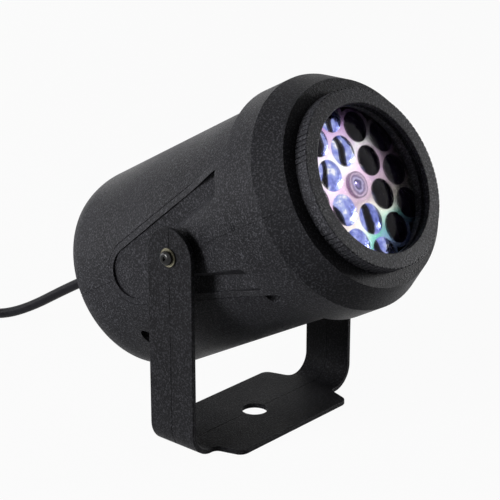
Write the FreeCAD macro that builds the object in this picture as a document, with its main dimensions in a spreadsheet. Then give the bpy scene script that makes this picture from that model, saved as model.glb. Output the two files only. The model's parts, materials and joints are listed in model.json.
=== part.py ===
import FreeCAD, Part
import Sketcher
import math
import os
import re
from FreeCAD import Placement, Rotation, Vector

# Snowflake projector light: a tilting round head between the arms of a strap yoke.
# Millimetres. The origin is the centre of the base hole's mouth on the underside of
# the yoke, +Z is up, X is the tilt axis, and the head looks towards -Y, tilted up.
# Head pieces are drawn in the head's own frame (x sideways, y up, z along the light)
# and are then placed at the pivot.

SIZES = {
    # Yoke
    "yoke_side_gap": 0.6,
    "yoke_pivot_height": 99.5,
    "yoke_strap": 2.4,
    "yoke_arm_width": 28.0,
    "yoke_bend_radius": 12.5,
    "yoke_base_depth": 55.6,
    "yoke_base_inset": 4.3,
    "yoke_base_corner": 5.0,
    "yoke_neck_inset": 15.6,
    "yoke_neck_radius": 3.5,
    "yoke_hole_diameter": 13.4,
    "yoke_edge_round": 0.35,
    "yoke_seam_width": 0.3,
    "yoke_seam_depth": 0.2,
    # Rest position of the head
    "head_tilt_angle": 28.5,
    # Head shells, measured along the light axis from the pivot
    "shell_wall": 2.5,
    "shell_rear_end": 81.1,
    "shell_shoulder_inset": 1.8,
    "shell_shoulder": 10.5,
    "shell_barrel_taper": 0.65,
    "shell_barrel_front_radius": 52.85,
    "shell_flare_start": 40.8,
    "shell_flare_length": 3.6,
    "shell_flare_rise": 4.15,
    "shell_band_drop": 0.3,
    "shell_band_length": 17.2,
    "shell_collar_inset": 7.0,
    "shell_collar_length": 13.3,
    "shell_front_wall": 1.8,
    "shell_rear_lip": 2.0,
    "shell_rear_lip_reach": 3.8,
    "shell_seam_width": 0.3,
    "shell_groove_depth": 0.35,
    "shell_rib_reach": 3.3,
    "shell_rib_width": 2.0,
    # Side panels sunk into both flanks
    "panel_floor_depth": 5.35,
    "panel_floor_slope_angle": 4.05,
    "panel_rear_centre": 37.5,
    "panel_rear_radius": 12.8,
    "panel_spread_angle": 12.0,
    "panel_front_inset": 7.4,
    "panel_corner_radius": 5.0,
    "tongue_radius": 10.9,
    "tongue_height": 2.9,
    "tongue_draft_angle": 26.0,
    # Raised flank round the panel, which rises forwards to the band without a crease
    "flank_step": 0.25,
    "flank_rise_start": 10.0,
    "border_width": 3.2,
    "border_line_width": 0.45,
    "border_front_reach": 0.4,
    "border_front_radius": 5.0,
    # Screw wells and their columns
    "well_side_inset": 12.35,
    "well_front_inset": 9.4,
    "well_rear_inset": 26.6,
    "well_diameter": 7.6,
    "well_column_diameter": 10.6,
    "well_floor_depth": 11.6,
    "shell_screw_head_diameter": 6.0,
    "shell_screw_head_height": 2.2,
    "shell_screw_diameter": 3.0,
    "shell_screw_reach": 10.0,
    # Pivot hardware
    "pivot_boss_diameter": 18.0,
    "pivot_pad_diameter": 16.0,
    "pivot_pad_thickness": 0.9,
    "pivot_gap": 0.1,
    "pivot_screw_diameter": 4.0,
    "pivot_hole_diameter": 4.3,
    "running_gap": 0.07,
    "pivot_screw_head_diameter": 7.0,
    "pivot_screw_head_height": 2.6,
    "pivot_screw_length": 14.5,
    "pivot_cross_width": 1.0,
    "pivot_cross_length": 3.8,
    "pivot_cross_depth": 1.4,
    "pivot_washer_diameter": 9.0,
    "pivot_washer_thickness": 0.8,
    "pivot_nut_flats": 7.0,
    "pivot_nut_height": 3.2,
    "pivot_nut_inset": 1.1,
    # Focus ring
    "ring_height": 7.1,
    "ring_overhang": 2.6,
    "ring_lip_width": 2.2,
    "ring_lip_thickness": 2.3,
    "ring_wall": 2.7,
    "ring_gap": 0.3,
    "ring_collar_width": 9.4,
    "ring_flange_thickness": 1.4,
    "ring_flange_width": 5.5,
    "ring_skirt_wall": 1.6,
    "ring_skirt_depth": 17.4,
    "ring_edge_round": 0.5,
    "knurl_tooth_width": 2.64,
    "knurl_groove_width": 0.6,
    "knurl_groove_depth": 0.7,
    "knurl_pad_angle": 40.4,
    "knurl_pad_centre_angle": 180.0,
    "ring_mark_width": 0.3,
    "ring_mark_depth": 0.25,
    "focus_turn_angle": 60.0,
    "focus_travel": 3.0,
    # Window
    "window_thickness": 2.0,
    "window_seal_thickness": 0.8,
    "window_seal_width": 1.6,
    "window_retainer_length": 1.6,
    "window_retainer_width": 1.8,
    # Lens carriage and motor
    "carriage_depth": 11.5,
    "carriage_thickness": 2.4,
    "carriage_side_gap": 1.0,
    "carriage_rim_width": 4.0,
    "carriage_spoke_width": 7.0,
    "carriage_hub_radius": 15.0,
    "carriage_pin_diameter": 3.0,
    "carriage_pin_reach": 2.0,
    "carriage_gap": 0.3,
    "guide_rib_thickness": 1.6,
    "guide_rib_length": 12.0,
    "guide_rib_gap": 0.8,
    "motor_diameter": 24.0,
    "motor_length": 12.5,
    "motor_gearbox_diameter": 16.0,
    "motor_gearbox_length": 4.0,
    "motor_shaft_diameter": 3.0,
    "motor_screw_circle": 17.5,
    "motor_screw_diameter": 2.0,
    "motor_screw_head_diameter": 3.8,
    "motor_screw_head_height": 1.2,
    "motor_screw_reach": 3.0,
    # Lens wheel
    "wheel_front_gap": 1.1,
    "wheel_thickness": 2.0,
    "wheel_side_gap": 1.4,
    "lens_land": 1.7,
    "lens_dome_height": 0.8,
    "lens_border": 1.9,
    "lens_first_angle": 32.2,
    "wheel_core_inset": 3.4,
    "hub_diameter": 12.6,
    "hub_flange_thickness": 0.9,
    "hub_spigot_diameter": 8.0,
    "hub_length": 6.2,
    "hub_dimple_diameter": 5.0,
    "hub_dimple_depth": 0.7,
    # Light engine
    "tube_side_gap": 1.2,
    "tube_wall": 2.0,
    "tube_setback": 19.0,
    "tube_ledge_height": 14.0,
    "tube_ledge_width": 2.6,
    "tube_fin_thickness": 2.0,
    "tube_fin_length": 14.0,
    "tube_fin_place": 12.0,
    "fit_gap": 0.2,
    "condenser_edge": 3.0,
    "condenser_dome": 7.5,
    "spacer_wall": 1.8,
    "slide_thickness": 0.8,
    "retainer_thickness": 1.6,
    "retainer_width": 2.4,
    "led_board_gap": 5.0,
    "led_board_thickness": 1.6,
    "led_circle_radius": 9.0,
    "led_package_width": 4.6,
    "led_package_height": 0.9,
    "led_dome_radius": 1.7,
    "sink_plate_thickness": 6.0,
    "sink_fin_thickness": 1.8,
    "sink_fin_pitch": 8.0,
    "sink_fin_end_gap": 5.5,
    "sink_fin_overhang": 2.0,
    # Driver
    "driver_board_side_gap": 5.2,
    "driver_board_length": 34.0,
    "driver_board_thickness": 1.6,
    "driver_board_inset": 11.6,
    "driver_board_drop": 20.4,
    "driver_post_diameter": 6.0,
    "driver_post_inset": 5.0,
    "driver_screw_diameter": 2.6,
    "driver_screw_head_diameter": 5.0,
    "driver_screw_head_height": 1.8,
    "driver_screw_reach": 6.0,
    "transformer_width": 18.0,
    "transformer_length": 18.0,
    "transformer_height": 17.0,
    "transformer_side": 14.5,
    "capacitor_diameter": 10.0,
    "capacitor_height": 16.0,
    "capacitor_side": 12.0,
    "capacitor_pitch": 11.0,
    "terminal_width": 10.0,
    "terminal_length": 8.0,
    "terminal_height": 9.0,
    "lead_diameter": 1.8,
    "lead_pitch": 2.4,
    "motor_lead_side": 20.0,
    "motor_lead_gap": 3.0,
    "motor_lead_bend_radius": 6.0,
    "motor_lead_reach": 7.6,
    # Rear cap, gland and cord
    "cap_inset": 2.4,
    "cap_rim": 1.0,
    "cap_dome": 1.4,
    "cap_edge_width": 1.4,
    "cap_crown": 0.8,
    "cap_wall": 2.4,
    "cap_flange_overlap": 1.7,
    "cap_flange_thickness": 1.8,
    "seal_thickness": 0.5,
    "seal_width": 1.0,
    "gland_rise": 8.5,
    "gland_flange_diameter": 15.0,
    "gland_flange_thickness": 2.2,
    "gland_body_diameter": 10.0,
    "gland_relief_length": 20.0,
    "gland_relief_start_diameter": 11.0,
    "gland_relief_end_diameter": 8.0,
    "gland_thread_length": 7.0,
    "gland_nut_flats": 14.0,
    "gland_nut_height": 3.0,
    "cord_diameter": 5.6,
    "inner_lead_bend_radius": 7.0,
    # Coil of the cord that is put away, and its plug
    "coil_centre_side": -49.0,
    "coil_centre_back": 246.0,
    "coil_outer_radius": 41.2,
    "coil_turn_gap": 0.6,
    "coil_turns_per_layer": 3.25,
    "plug_relief_length": 14.0,
    "plug_relief_diameter": 8.6,
    "plug_neck_width": 15.0,
    "plug_shoulder_length": 13.0,
    "plug_length": 36.0,
    "plug_width": 35.3,
    "plug_height": 13.7,
    "plug_corner_radius": 4.0,
    "plug_edge_round": 1.6,
    "plug_pin_diameter": 4.0,
    "plug_pin_length": 19.0,
    "plug_pin_pitch": 18.6,
    "plug_tail_diameter": 2.6,
    "plug_tail_length": 8.0,
}

# Sizes that follow from the driving ones, so that what fits together stays together.
DERIVED = {
    # Radii, from the barrel outwards and forwards to the ring
    "shell_barrel_rear_radius": "shell_barrel_front_radius - shell_barrel_taper",
    "shell_rear_radius": "shell_barrel_rear_radius - shell_shoulder_inset",
    "shell_flare_radius": "shell_barrel_front_radius + shell_flare_rise",
    "shell_band_radius": "shell_flare_radius - shell_band_drop",
    "head_reach": "shell_flare_radius + shell_wall",
    "shell_front_radius": "shell_band_radius - shell_collar_inset",
    "ring_neck_radius": "shell_front_radius - ring_collar_width",
    "ring_radius": "ring_neck_radius + ring_overhang",
    "ring_tube_radius": "ring_neck_radius - ring_wall",
    "ring_window_radius": "ring_tube_radius - ring_lip_width",
    "ring_skirt_radius": "ring_neck_radius + ring_flange_width",
    "cap_radius": "shell_rear_radius - cap_inset",
    "cap_face_radius": "cap_radius - cap_edge_width",
    # Places along the light axis
    "shell_flare_end": "shell_flare_start + shell_flare_length",
    "shell_band_end": "shell_flare_end + shell_band_length",
    "shell_front_end": "shell_band_end + shell_collar_length",
    "ring_front": "shell_front_end + ring_height",
    "ring_skirt_end": "shell_front_end - ring_skirt_depth",
    "carriage_front": "shell_front_end - carriage_depth",
    "wheel_front":
        "shell_front_end - shell_front_wall - ring_gap - ring_flange_thickness - wheel_front_gap",
    "tube_front": "carriage_front - tube_setback",
    "driver_board_rear": "shell_rear_end - driver_board_inset",
    "motor_lead_end": "tube_front + motor_lead_reach",
    # Side panels and their border line
    "panel_floor_at_pivot": "shell_barrel_front_radius - panel_floor_depth",
    "panel_front_end": "shell_flare_end - panel_front_inset",
    "tongue_level": "panel_floor_at_pivot + tongue_height",
    "border_front": "shell_flare_end + border_front_reach",
    # Yoke and pivots, round the head
    "yoke_width": "2 * (shell_flare_radius + yoke_side_gap + yoke_strap)",
    "yoke_neck_side": "yoke_width / 2 - yoke_neck_inset",
    "yoke_base_side": "yoke_neck_side - yoke_base_inset",
    "pivot_nut_place": "panel_floor_at_pivot + pivot_nut_inset",
    # Screw wells, and what stands between them
    "well_side": "shell_barrel_front_radius - well_side_inset",
    "well_front": "shell_flare_end - well_front_inset",
    "well_rear": "shell_rear_end - well_rear_inset",
    "tube_radius": "well_side - well_column_diameter / 2 - tube_side_gap",
    "led_board_radius": "tube_radius - tube_wall - led_board_gap",
    "sink_fin_radius": "tube_radius + sink_fin_overhang",
    "sink_fin_length":
        "driver_board_rear - driver_board_length - sink_plate_thickness - sink_fin_end_gap",
    "driver_board_width": "2 * (well_side - well_column_diameter / 2 - driver_board_side_gap)",
    "driver_post_side": "driver_board_width / 2 - driver_post_inset",
    "motor_lead_drop": "tube_radius + motor_lead_gap",
    # Lens carriage and wheel, inside the ring's skirt. The lens array is 2 pitches and a lens wide.
    "guide_rib_inner_radius": "ring_skirt_radius + guide_rib_gap",
    "carriage_radius": "ring_skirt_radius - ring_skirt_wall - carriage_side_gap",
    "carriage_pin_end": "guide_rib_inner_radius + carriage_pin_reach",
    "wheel_radius": "ring_skirt_radius - ring_skirt_wall - wheel_side_gap",
    "lens_pitch": "(wheel_radius - lens_border + lens_land / 2) / (2 + 1 / 2)",
    "lens_diameter": "lens_pitch - lens_land",
    "wheel_core_radius": "2 * lens_pitch - wheel_core_inset",
}

OUTPUT = "parts"
document = FreeCAD.newDocument("projector_light")
sheet = document.addObject("Spreadsheet::Sheet", "Dimensions")
for row, (alias, value) in enumerate(SIZES.items(), start=1):
    sheet.set("A%d" % row, alias)
    sheet.set("B%d" % row, str(value))
    sheet.setAlias("B%d" % row, alias)
document.recompute()

SUBPARTS = []


def cell(alias):
    """The expression that names a cell of the sheet, or that works out a derived size."""
    if alias not in DERIVED:
        return "Dimensions." + alias
    return "(%s)" % re.sub(r"[a-z]\w+", lambda word: cell(word.group()), DERIVED[alias])


def value_of(expression):
    """The present value of an expression."""
    item = sheet.evalExpression(expression)
    return float(getattr(item, "Value", item))


def size(alias):
    """A dimension's present value, read from the sheet."""
    return value_of(cell(alias))


X_AXIS = Vector(1, 0, 0)
Y_AXIS = Vector(0, 1, 0)
Z_AXIS = Vector(0, 0, 1)
ORIGIN = Vector(0, 0, 0)
ALONG_X = Rotation(Y_AXIS, 90)
ALONG_Y = Rotation(X_AXIS, -90)
LEFT_AND_RIGHT = (-1, 1)
# Places round the light axis, in degrees
CARRIAGE_PIN_ANGLES = (90, 210, 330)
TUBE_FIN_ANGLES = (45, 135, 225, 315)
LED_ANGLES = (45, 135, 225, 315)
PIVOT = Vector(0, 0, size("yoke_pivot_height"))
HEAD_TURN = Rotation(X_AXIS, 90 - size("head_tilt_angle"))
HEAD = Placement(PIVOT, HEAD_TURN)
# One overrun serves every cut that has to pass a face.
OVERRUN = size("shell_wall") * 4


def keep(item, label, in_head=False):
    """Names a finished sub-part and puts it in its place."""
    item.Label = label
    if in_head:
        item.Placement = HEAD
        item.setExpression("Placement.Base.z", cell("yoke_pivot_height"))
        item.setExpression("Placement.Rotation.Angle", "90 - " + cell("head_tilt_angle"))
    SUBPARTS.append(item)
    return item


def feature(label, shape, in_head=False):
    """A sub-part whose shape is made by the functions here."""
    item = document.addObject("Part::Feature", label)
    place = shape.Placement
    item.Shape = shape
    item.Label = label
    item.Placement = HEAD.multiply(place) if in_head else place
    SUBPARTS.append(item)
    return item


def primitive(kind, name, base=None, rotation=None, **properties):
    """A primitive whose sizes and place are expressions."""
    item = document.addObject("Part::" + kind, name)
    for key, expression in properties.items():
        item.setExpression(key, expression)
    if rotation is not None:
        item.Placement = Placement(ORIGIN, rotation)
    for axis, expression in zip("xyz", base or ()):
        item.setExpression("Placement.Base." + axis, expression)
    return item


def cylinder(name, diameter, height, base=None, rotation=None):
    """A bound cylinder: diameter and height are expressions."""
    return primitive("Cylinder", name, base, rotation, Radius="(%s) / 2" % diameter, Height=height)


def box(name, length, width, height, base):
    """A bound box that starts at its base corner."""
    return primitive("Box", name, base, None, Length=length, Width=width, Height=height)


def fuse(name, parts):
    item = document.addObject("Part::MultiFuse", name)
    item.Shapes = parts
    return item


def cut(name, base, tool):
    item = document.addObject("Part::Cut", name)
    item.Base = base
    item.Tool = tool
    return item


def group(name, parts):
    """Several separate solids as one sub-part."""
    item = document.addObject("Part::Compound", name)
    item.Links = parts
    return item


def turned(label, outline, in_head=True):
    """A body turned about z: the outline's points are (radius, axial place) expressions."""
    body = document.addObject("PartDesign::Body", label)
    plane = [f for f in body.Origin.OriginFeatures if f.Role == "XZ_Plane"][0]
    sketch = body.newObject("Sketcher::SketchObject", label + "_outline")
    sketch.AttachmentSupport = [(plane, "")]
    sketch.MapMode = "FlatFace"
    document.recompute()
    values = [(value_of(radius), value_of(place)) for radius, place in outline]
    count = len(values)
    for index, (radius, place) in enumerate(values):
        after = values[(index + 1) % count]
        sketch.addGeometry(Part.LineSegment(Vector(radius, place, 0), Vector(after[0], after[1], 0)))
    for index in range(count):
        sketch.addConstraint(Sketcher.Constraint("Coincident", index, 2, (index + 1) % count, 1))
    for index, (radius, place) in enumerate(outline):
        if values[index][0] == 0:
            sketch.addConstraint(Sketcher.Constraint("PointOnObject", index, 1, -2))
        else:
            bound_constraint(sketch, "DistanceX", index, values[index][0], radius)
        if values[index][1] == 0:
            sketch.addConstraint(Sketcher.Constraint("PointOnObject", index, 1, -1))
        else:
            bound_constraint(sketch, "DistanceY", index, values[index][1], place)
    revolution = body.newObject("PartDesign::Revolution", label + "_turned")
    revolution.Profile = sketch
    revolution.ReferenceAxis = (sketch, ["V_Axis"])
    revolution.Angle = 360
    body.Tip = revolution
    return keep(body, label, in_head)


def bound_constraint(sketch, kind, index, value, expression):
    """Adds a distance from the sketch's origin to a line's start, bound to the sheet."""
    place = sketch.addConstraint(Sketcher.Constraint(kind, -1, 1, index, 1, value))
    sketch.setExpression("Constraints[%d]" % place, expression)


def solid(shape):
    """The solid of a boolean's result, with its seams tidied."""
    shape = shape.removeSplitter()
    if len(shape.Solids) != 1:
        raise ValueError("expected one solid, got %d" % len(shape.Solids))
    return shape.Solids[0]


def line(start, end):
    return Part.makeLine(start, end)


def arc(start, middle, end):
    return Part.Arc(start, middle, end).toShape()


def tangent_arc(start, direction, end):
    """An arc that leaves start along direction and reaches end."""
    chord = end - start
    along = Vector(direction).normalize()
    across = chord - along * chord.dot(along)
    across.normalize()
    radius = chord.dot(chord) / (2 * chord.dot(across))
    centre = start + across * radius
    middle = (start + end) * 0.5 - centre
    middle.normalize()
    return arc(start, centre + middle * radius, end)


def prism(edges, vector):
    """A solid swept straight from a closed flat outline."""
    face = Part.Face(Part.Wire(Part.__sortEdges__(edges)))
    return face.extrude(vector)


def rounded_corner(before, corner, after, radius):
    """Where a corner's arc starts, its middle and its end."""
    arriving = (corner - before).normalize()
    leaving = (after - corner).normalize()
    turn = arriving.getAngle(leaving)
    setback = radius * math.tan(turn / 2)
    inward = (leaving - arriving).normalize()
    middle = corner + inward * (radius / math.cos(turn / 2) - radius)
    return corner - arriving * setback, middle, corner + leaving * setback


def rounded_outline(corners):
    """A closed outline from (point, radius) corners. A radius of zero leaves a corner sharp."""
    count = len(corners)
    turns = []
    for index, (corner, radius) in enumerate(corners):
        before = corners[index - 1][0]
        after = corners[(index + 1) % count][0]
        turns.append(rounded_corner(before, corner, after, radius))
    edges = []
    for index, (first, middle, last) in enumerate(turns):
        if corners[index][1] > 0:
            edges.append(arc(first, middle, last))
        edges.append(line(last, turns[(index + 1) % count][0]))
    return edges


def tube_wire(points, radii):
    """Straight runs joined by tangent arcs. Each inner point has its own radius."""
    edges = []
    start = points[0]
    for before, corner, after, radius in zip(points, points[1:], points[2:], radii):
        first, middle, last = rounded_corner(before, corner, after, radius)
        edges.append(line(start, first))
        edges.append(arc(first, middle, last))
        start = last
    edges.append(line(start, points[-1]))
    return Part.Wire(edges)


def tube(wire, radius):
    """A round tube along a wire."""
    first = wire.Edges[0]
    start = first.valueAt(first.FirstParameter)
    direction = first.tangentAt(first.FirstParameter)
    profile = Part.Wire(Part.makeCircle(radius, start, direction))
    return wire.makePipeShell([profile], True, False).Solids[0]


def moulded_seam(half_width, shape):
    """The part of a skin that lies within half_width of the head's parting plane."""
    reach = size("ring_front") * 2
    slab = Part.makeBox(2 * reach, 2 * half_width, 2 * reach, Vector(-reach, -half_width, -reach))
    return shape.common(slab)


# Yoke: one moulded strap bent into a U, its base widened into a plate.
def make_yoke():
    half_width = size("yoke_width") / 2
    strap = size("yoke_strap")
    depth = size("yoke_base_depth")
    arm = size("yoke_arm_width")
    pivot = size("yoke_pivot_height")
    top = pivot + arm / 2

    def u_outline(inset):
        """The U seen from the front, at an inset from its outside."""
        side = half_width - inset
        bend = size("yoke_bend_radius") - inset
        middle_share = 1 - math.sqrt(0.5)
        corners = [Vector(-side, 0, inset + bend), Vector(-side + bend, 0, inset)]
        left_middle = Vector(-side + bend * middle_share, 0, inset + bend * middle_share)
        right = [Vector(side - bend, 0, inset), Vector(side, 0, inset + bend)]
        right_middle = Vector(side - bend * middle_share, 0, inset + bend * middle_share)
        return [
            line(Vector(-side, 0, top), corners[0]),
            arc(corners[0], left_middle, corners[1]),
            line(corners[1], right[0]),
            arc(right[0], right_middle, right[1]),
            line(right[1], Vector(side, 0, top)),
        ]

    def strap_between(outer_inset, inner_inset, width):
        """A U-shaped layer of the strap, of a given width along y."""
        outer = u_outline(outer_inset)
        inner = u_outline(inner_inset)
        ends = []
        for sign in LEFT_AND_RIGHT:
            outside = Vector(sign * (half_width - outer_inset), 0, top)
            inside = Vector(sign * (half_width - inner_inset), 0, top)
            ends.append(line(outside, inside))
        layer = prism(outer + inner + ends, Y_AXIS * width)
        layer.translate(Y_AXIS * (-width / 2))
        return layer

    # Seen from the side: the whole depth up to the pivot, and a round top about it.
    reach = Part.makeBox(2 * half_width, depth, pivot, Vector(-half_width, -depth / 2, 0))
    round_top = Part.makeCylinder(arm / 2, 2 * half_width, Vector(-half_width, 0, pivot), X_AXIS)
    # Seen from above: a wider plate between the arms, with hollow curves into them.
    quarter = [
        (size("yoke_base_side"), depth / 2, size("yoke_base_corner")),
        (size("yoke_neck_side"), arm / 2, size("yoke_neck_radius")),
        (half_width, arm / 2, 0),
    ]
    corners = [(Vector(x, y, 0), radius) for x, y, radius in quarter]
    corners += [(Vector(x, -y, 0), radius) for x, y, radius in reversed(quarter)]
    corners += [(Vector(-x, -y, 0), radius) for x, y, radius in quarter]
    corners += [(Vector(-x, y, 0), radius) for x, y, radius in reversed(quarter)]
    plan = prism(rounded_outline(corners), Z_AXIS * top)
    body = strap_between(0, strap, depth).common(reach.fuse(round_top)).common(plan)
    body = solid(body)
    hole_radius = size("pivot_screw_diameter") / 2 + size("running_gap")
    tools = [
        Part.makeCylinder(hole_radius, 2 * half_width, Vector(-half_width, 0, pivot), X_AXIS),
        Part.makeCylinder(size("yoke_hole_diameter") / 2, strap),
    ]
    body = solid(body.cut(Part.makeCompound(tools)))
    edges = [edge for edge in body.Edges if is_strap_edge(edge, depth)]
    body = body.makeFillet(size("yoke_edge_round"), edges)
    seam_depth = size("yoke_seam_depth")
    seam_width = size("yoke_seam_width")
    seams = [
        strap_between(0, seam_depth, seam_width),
        strap_between(strap - seam_depth, strap, seam_width),
    ]
    return solid(body.cut(Part.makeCompound(seams)))


def is_strap_edge(edge, depth):
    """True for the edges round the strap's outline, apart from the holes and the bends' ends."""
    box_of_edge = edge.BoundBox
    if edge.Curve.TypeId == "Part::GeomLine":
        direction = edge.tangentAt(edge.FirstParameter)
        across = abs(direction.y) > max(abs(direction.x), abs(direction.z))
        through = box_of_edge.DiagonalLength <= size("yoke_strap") * 1.01
        if across and box_of_edge.YLength > size("yoke_arm_width") / 2:
            return False
        return not through
    if edge.Curve.TypeId == "Part::GeomCircle":
        radius = edge.Curve.Radius
        pivot_hole = size("pivot_screw_diameter") / 2 + size("running_gap")
        holes = (pivot_hole, size("yoke_hole_diameter") / 2)
        return all(abs(radius - hole) > size("yoke_edge_round") / 10 for hole in holes)
    return False


feature("yoke", make_yoke())


# Head shells: one hollow outline of revolution, split along the pivot plane.
def radius_of_barrel(place):
    """The straight barrel's outer radius at a place along the axis."""
    rear = -size("shell_rear_end") + size("shell_shoulder")
    front = size("shell_flare_start")
    share = (place - rear) / (front - rear)
    rear_radius = size("shell_barrel_rear_radius")
    return rear_radius + share * (size("shell_barrel_front_radius") - rear_radius)


def flank_rise(tail, low, high, ahead):
    """Two arcs from low to high, tangent to the lines before and after and to each other."""
    bend = (low - tail).getAngle(ahead - high)
    lift = (high - low).Length * math.tan(bend / 8)
    middle = (low + high) * 0.5 + X_AXIS * lift
    return [tangent_arc(low, low - tail, middle), tangent_arc(high, high - ahead, middle)]


def head_outline(inset, rear, front, raised=False):
    """The head turned about its axis, at an inset under its skin, from rear to front.

    The raised one has the flanks' form all round, without the flare's step.
    """
    step = size("flank_step") if raised else 0
    flare_start = size("flank_rise_start") if raised else size("shell_flare_start")

    def at(radius, place):
        return Vector(radius - inset, 0, place)

    shoulder = -size("shell_rear_end") + size("shell_shoulder")
    p_rear = at(size("shell_rear_radius") + step, -size("shell_rear_end"))
    p_shoulder = at(size("shell_barrel_rear_radius") + step, shoulder)
    p_flare = at(radius_of_barrel(flare_start) + step, flare_start)
    p_shelf = at(size("shell_flare_radius"), size("shell_flare_end"))
    p_band = at(size("shell_band_radius"), size("shell_band_end"))
    p_front = at(size("shell_front_radius"), size("shell_front_end"))
    back_arc = tangent_arc(p_shoulder, Vector(0, 0, -1), p_rear)
    rear_middle = Vector(0, 0, p_rear.z)
    front_middle = Vector(0, 0, p_front.z)
    edges = [
        line(rear_middle, p_rear),
        back_arc,
        line(p_shoulder, p_flare),
        line(p_shelf, p_band),
        line(p_band, p_front),
        line(p_front, front_middle),
        line(front_middle, rear_middle),
    ]
    if raised:
        edges.extend(flank_rise(p_shoulder, p_flare, p_shelf, p_band))
    else:
        edges.append(line(p_flare, p_shelf))
    turned_solid = Part.Face(Part.Wire(Part.__sortEdges__(edges))).revolve(ORIGIN, Z_AXIS, 360)
    reach = size("head_reach") * 2
    slab = Part.makeBox(2 * reach, 2 * reach, front - rear, Vector(-reach, -reach, rear))
    return turned_solid.Solids[0].common(slab).Solids[0]


def wedge_corner(centre, radius, front):
    """Where a line tangent to a circle, spreading forward, reaches front. Height, then place."""
    angle = math.radians(size("panel_spread_angle"))
    return Vector(0, radius / math.cos(angle) + (front - centre) * math.tan(angle), front)


def wedge_tip(centre, radius):
    """Where the two spreading lines would meet, behind their circle."""
    return Vector(0, 0, centre - radius / math.sin(math.radians(size("panel_spread_angle"))))


def mirrored(corners):
    """Corners above the parting plane and, in turn, their mirror images below it."""
    below = [(Vector(point.x, -point.y, point.z), radius) for point, radius in reversed(corners)]
    return corners + below


def panel_outline(offset, front):
    """The side panel's outline in the y-z plane, grown by an offset and ending at front."""
    centre = -size("panel_rear_centre")
    radius = size("panel_rear_radius") + offset
    corners = [(wedge_tip(centre, radius), radius)]
    return rounded_outline(corners + mirrored([(wedge_corner(centre, radius, front), 0)]))


def side_tool(sign, floor_inset, offset, front):
    """What is cut from one flank: the panel's outline, down to its sloping floor."""
    reach = size("head_reach") * 2
    length = size("ring_front") * 2
    outline = prism(panel_outline(offset, front), X_AXIS * reach)
    floor = Part.makeBox(reach, reach, length, Vector(0, -reach / 2, -length / 2))
    floor.rotate(ORIGIN, Y_AXIS, -size("panel_floor_slope_angle"))
    floor.translate(X_AXIS * (size("panel_floor_at_pivot") - floor_inset))
    tool = outline.common(floor)
    if sign < 0:
        tool = tool.mirror(ORIGIN, X_AXIS)
    return tool


def tongue_wire(level):
    """The raised wedge's outline at a level off the pivot plane. It widens inwards."""
    spread = math.tan(math.radians(size("tongue_draft_angle")))
    radius = size("tongue_radius") + (size("tongue_level") - level) * spread
    front = size("panel_front_end")
    reach = size("head_reach")
    corners = [
        (wedge_corner(0, radius, front), size("panel_corner_radius")),
        (Vector(0, reach, front), 0),
        (Vector(0, reach, reach), 0),
    ]
    edges = rounded_outline([(wedge_tip(0, radius), radius)] + mirrored(corners))
    wire = Part.Wire(Part.__sortEdges__(edges))
    wire.translate(X_AXIS * level)
    return wire


def tongue(sign):
    """The raised wedge that runs back from the flare and rounds the pivot."""
    levels = (size("head_reach"), size("panel_floor_at_pivot") - 2 * size("shell_wall"))
    wedge = Part.makeLoft([tongue_wire(level) for level in levels], True, True)
    return wedge if sign > 0 else wedge.mirror(ORIGIN, X_AXIS)


def border_region(offset):
    """What lies within the border line: the raised flanks and all before the flare."""
    centre = -size("panel_rear_centre")
    radius = size("panel_rear_radius") + size("border_width") + offset
    front = size("border_front") - offset
    reach = size("head_reach")
    corners = [
        (wedge_corner(centre, radius, front), size("border_front_radius")),
        (Vector(0, reach, front), 0),
        (Vector(0, reach, size("ring_front")), 0),
    ]
    edges = rounded_outline([(wedge_tip(centre, radius), radius)] + mirrored(corners))
    region = prism(edges, X_AXIS * reach * 2)
    region.translate(X_AXIS * (-reach))
    return region


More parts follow.
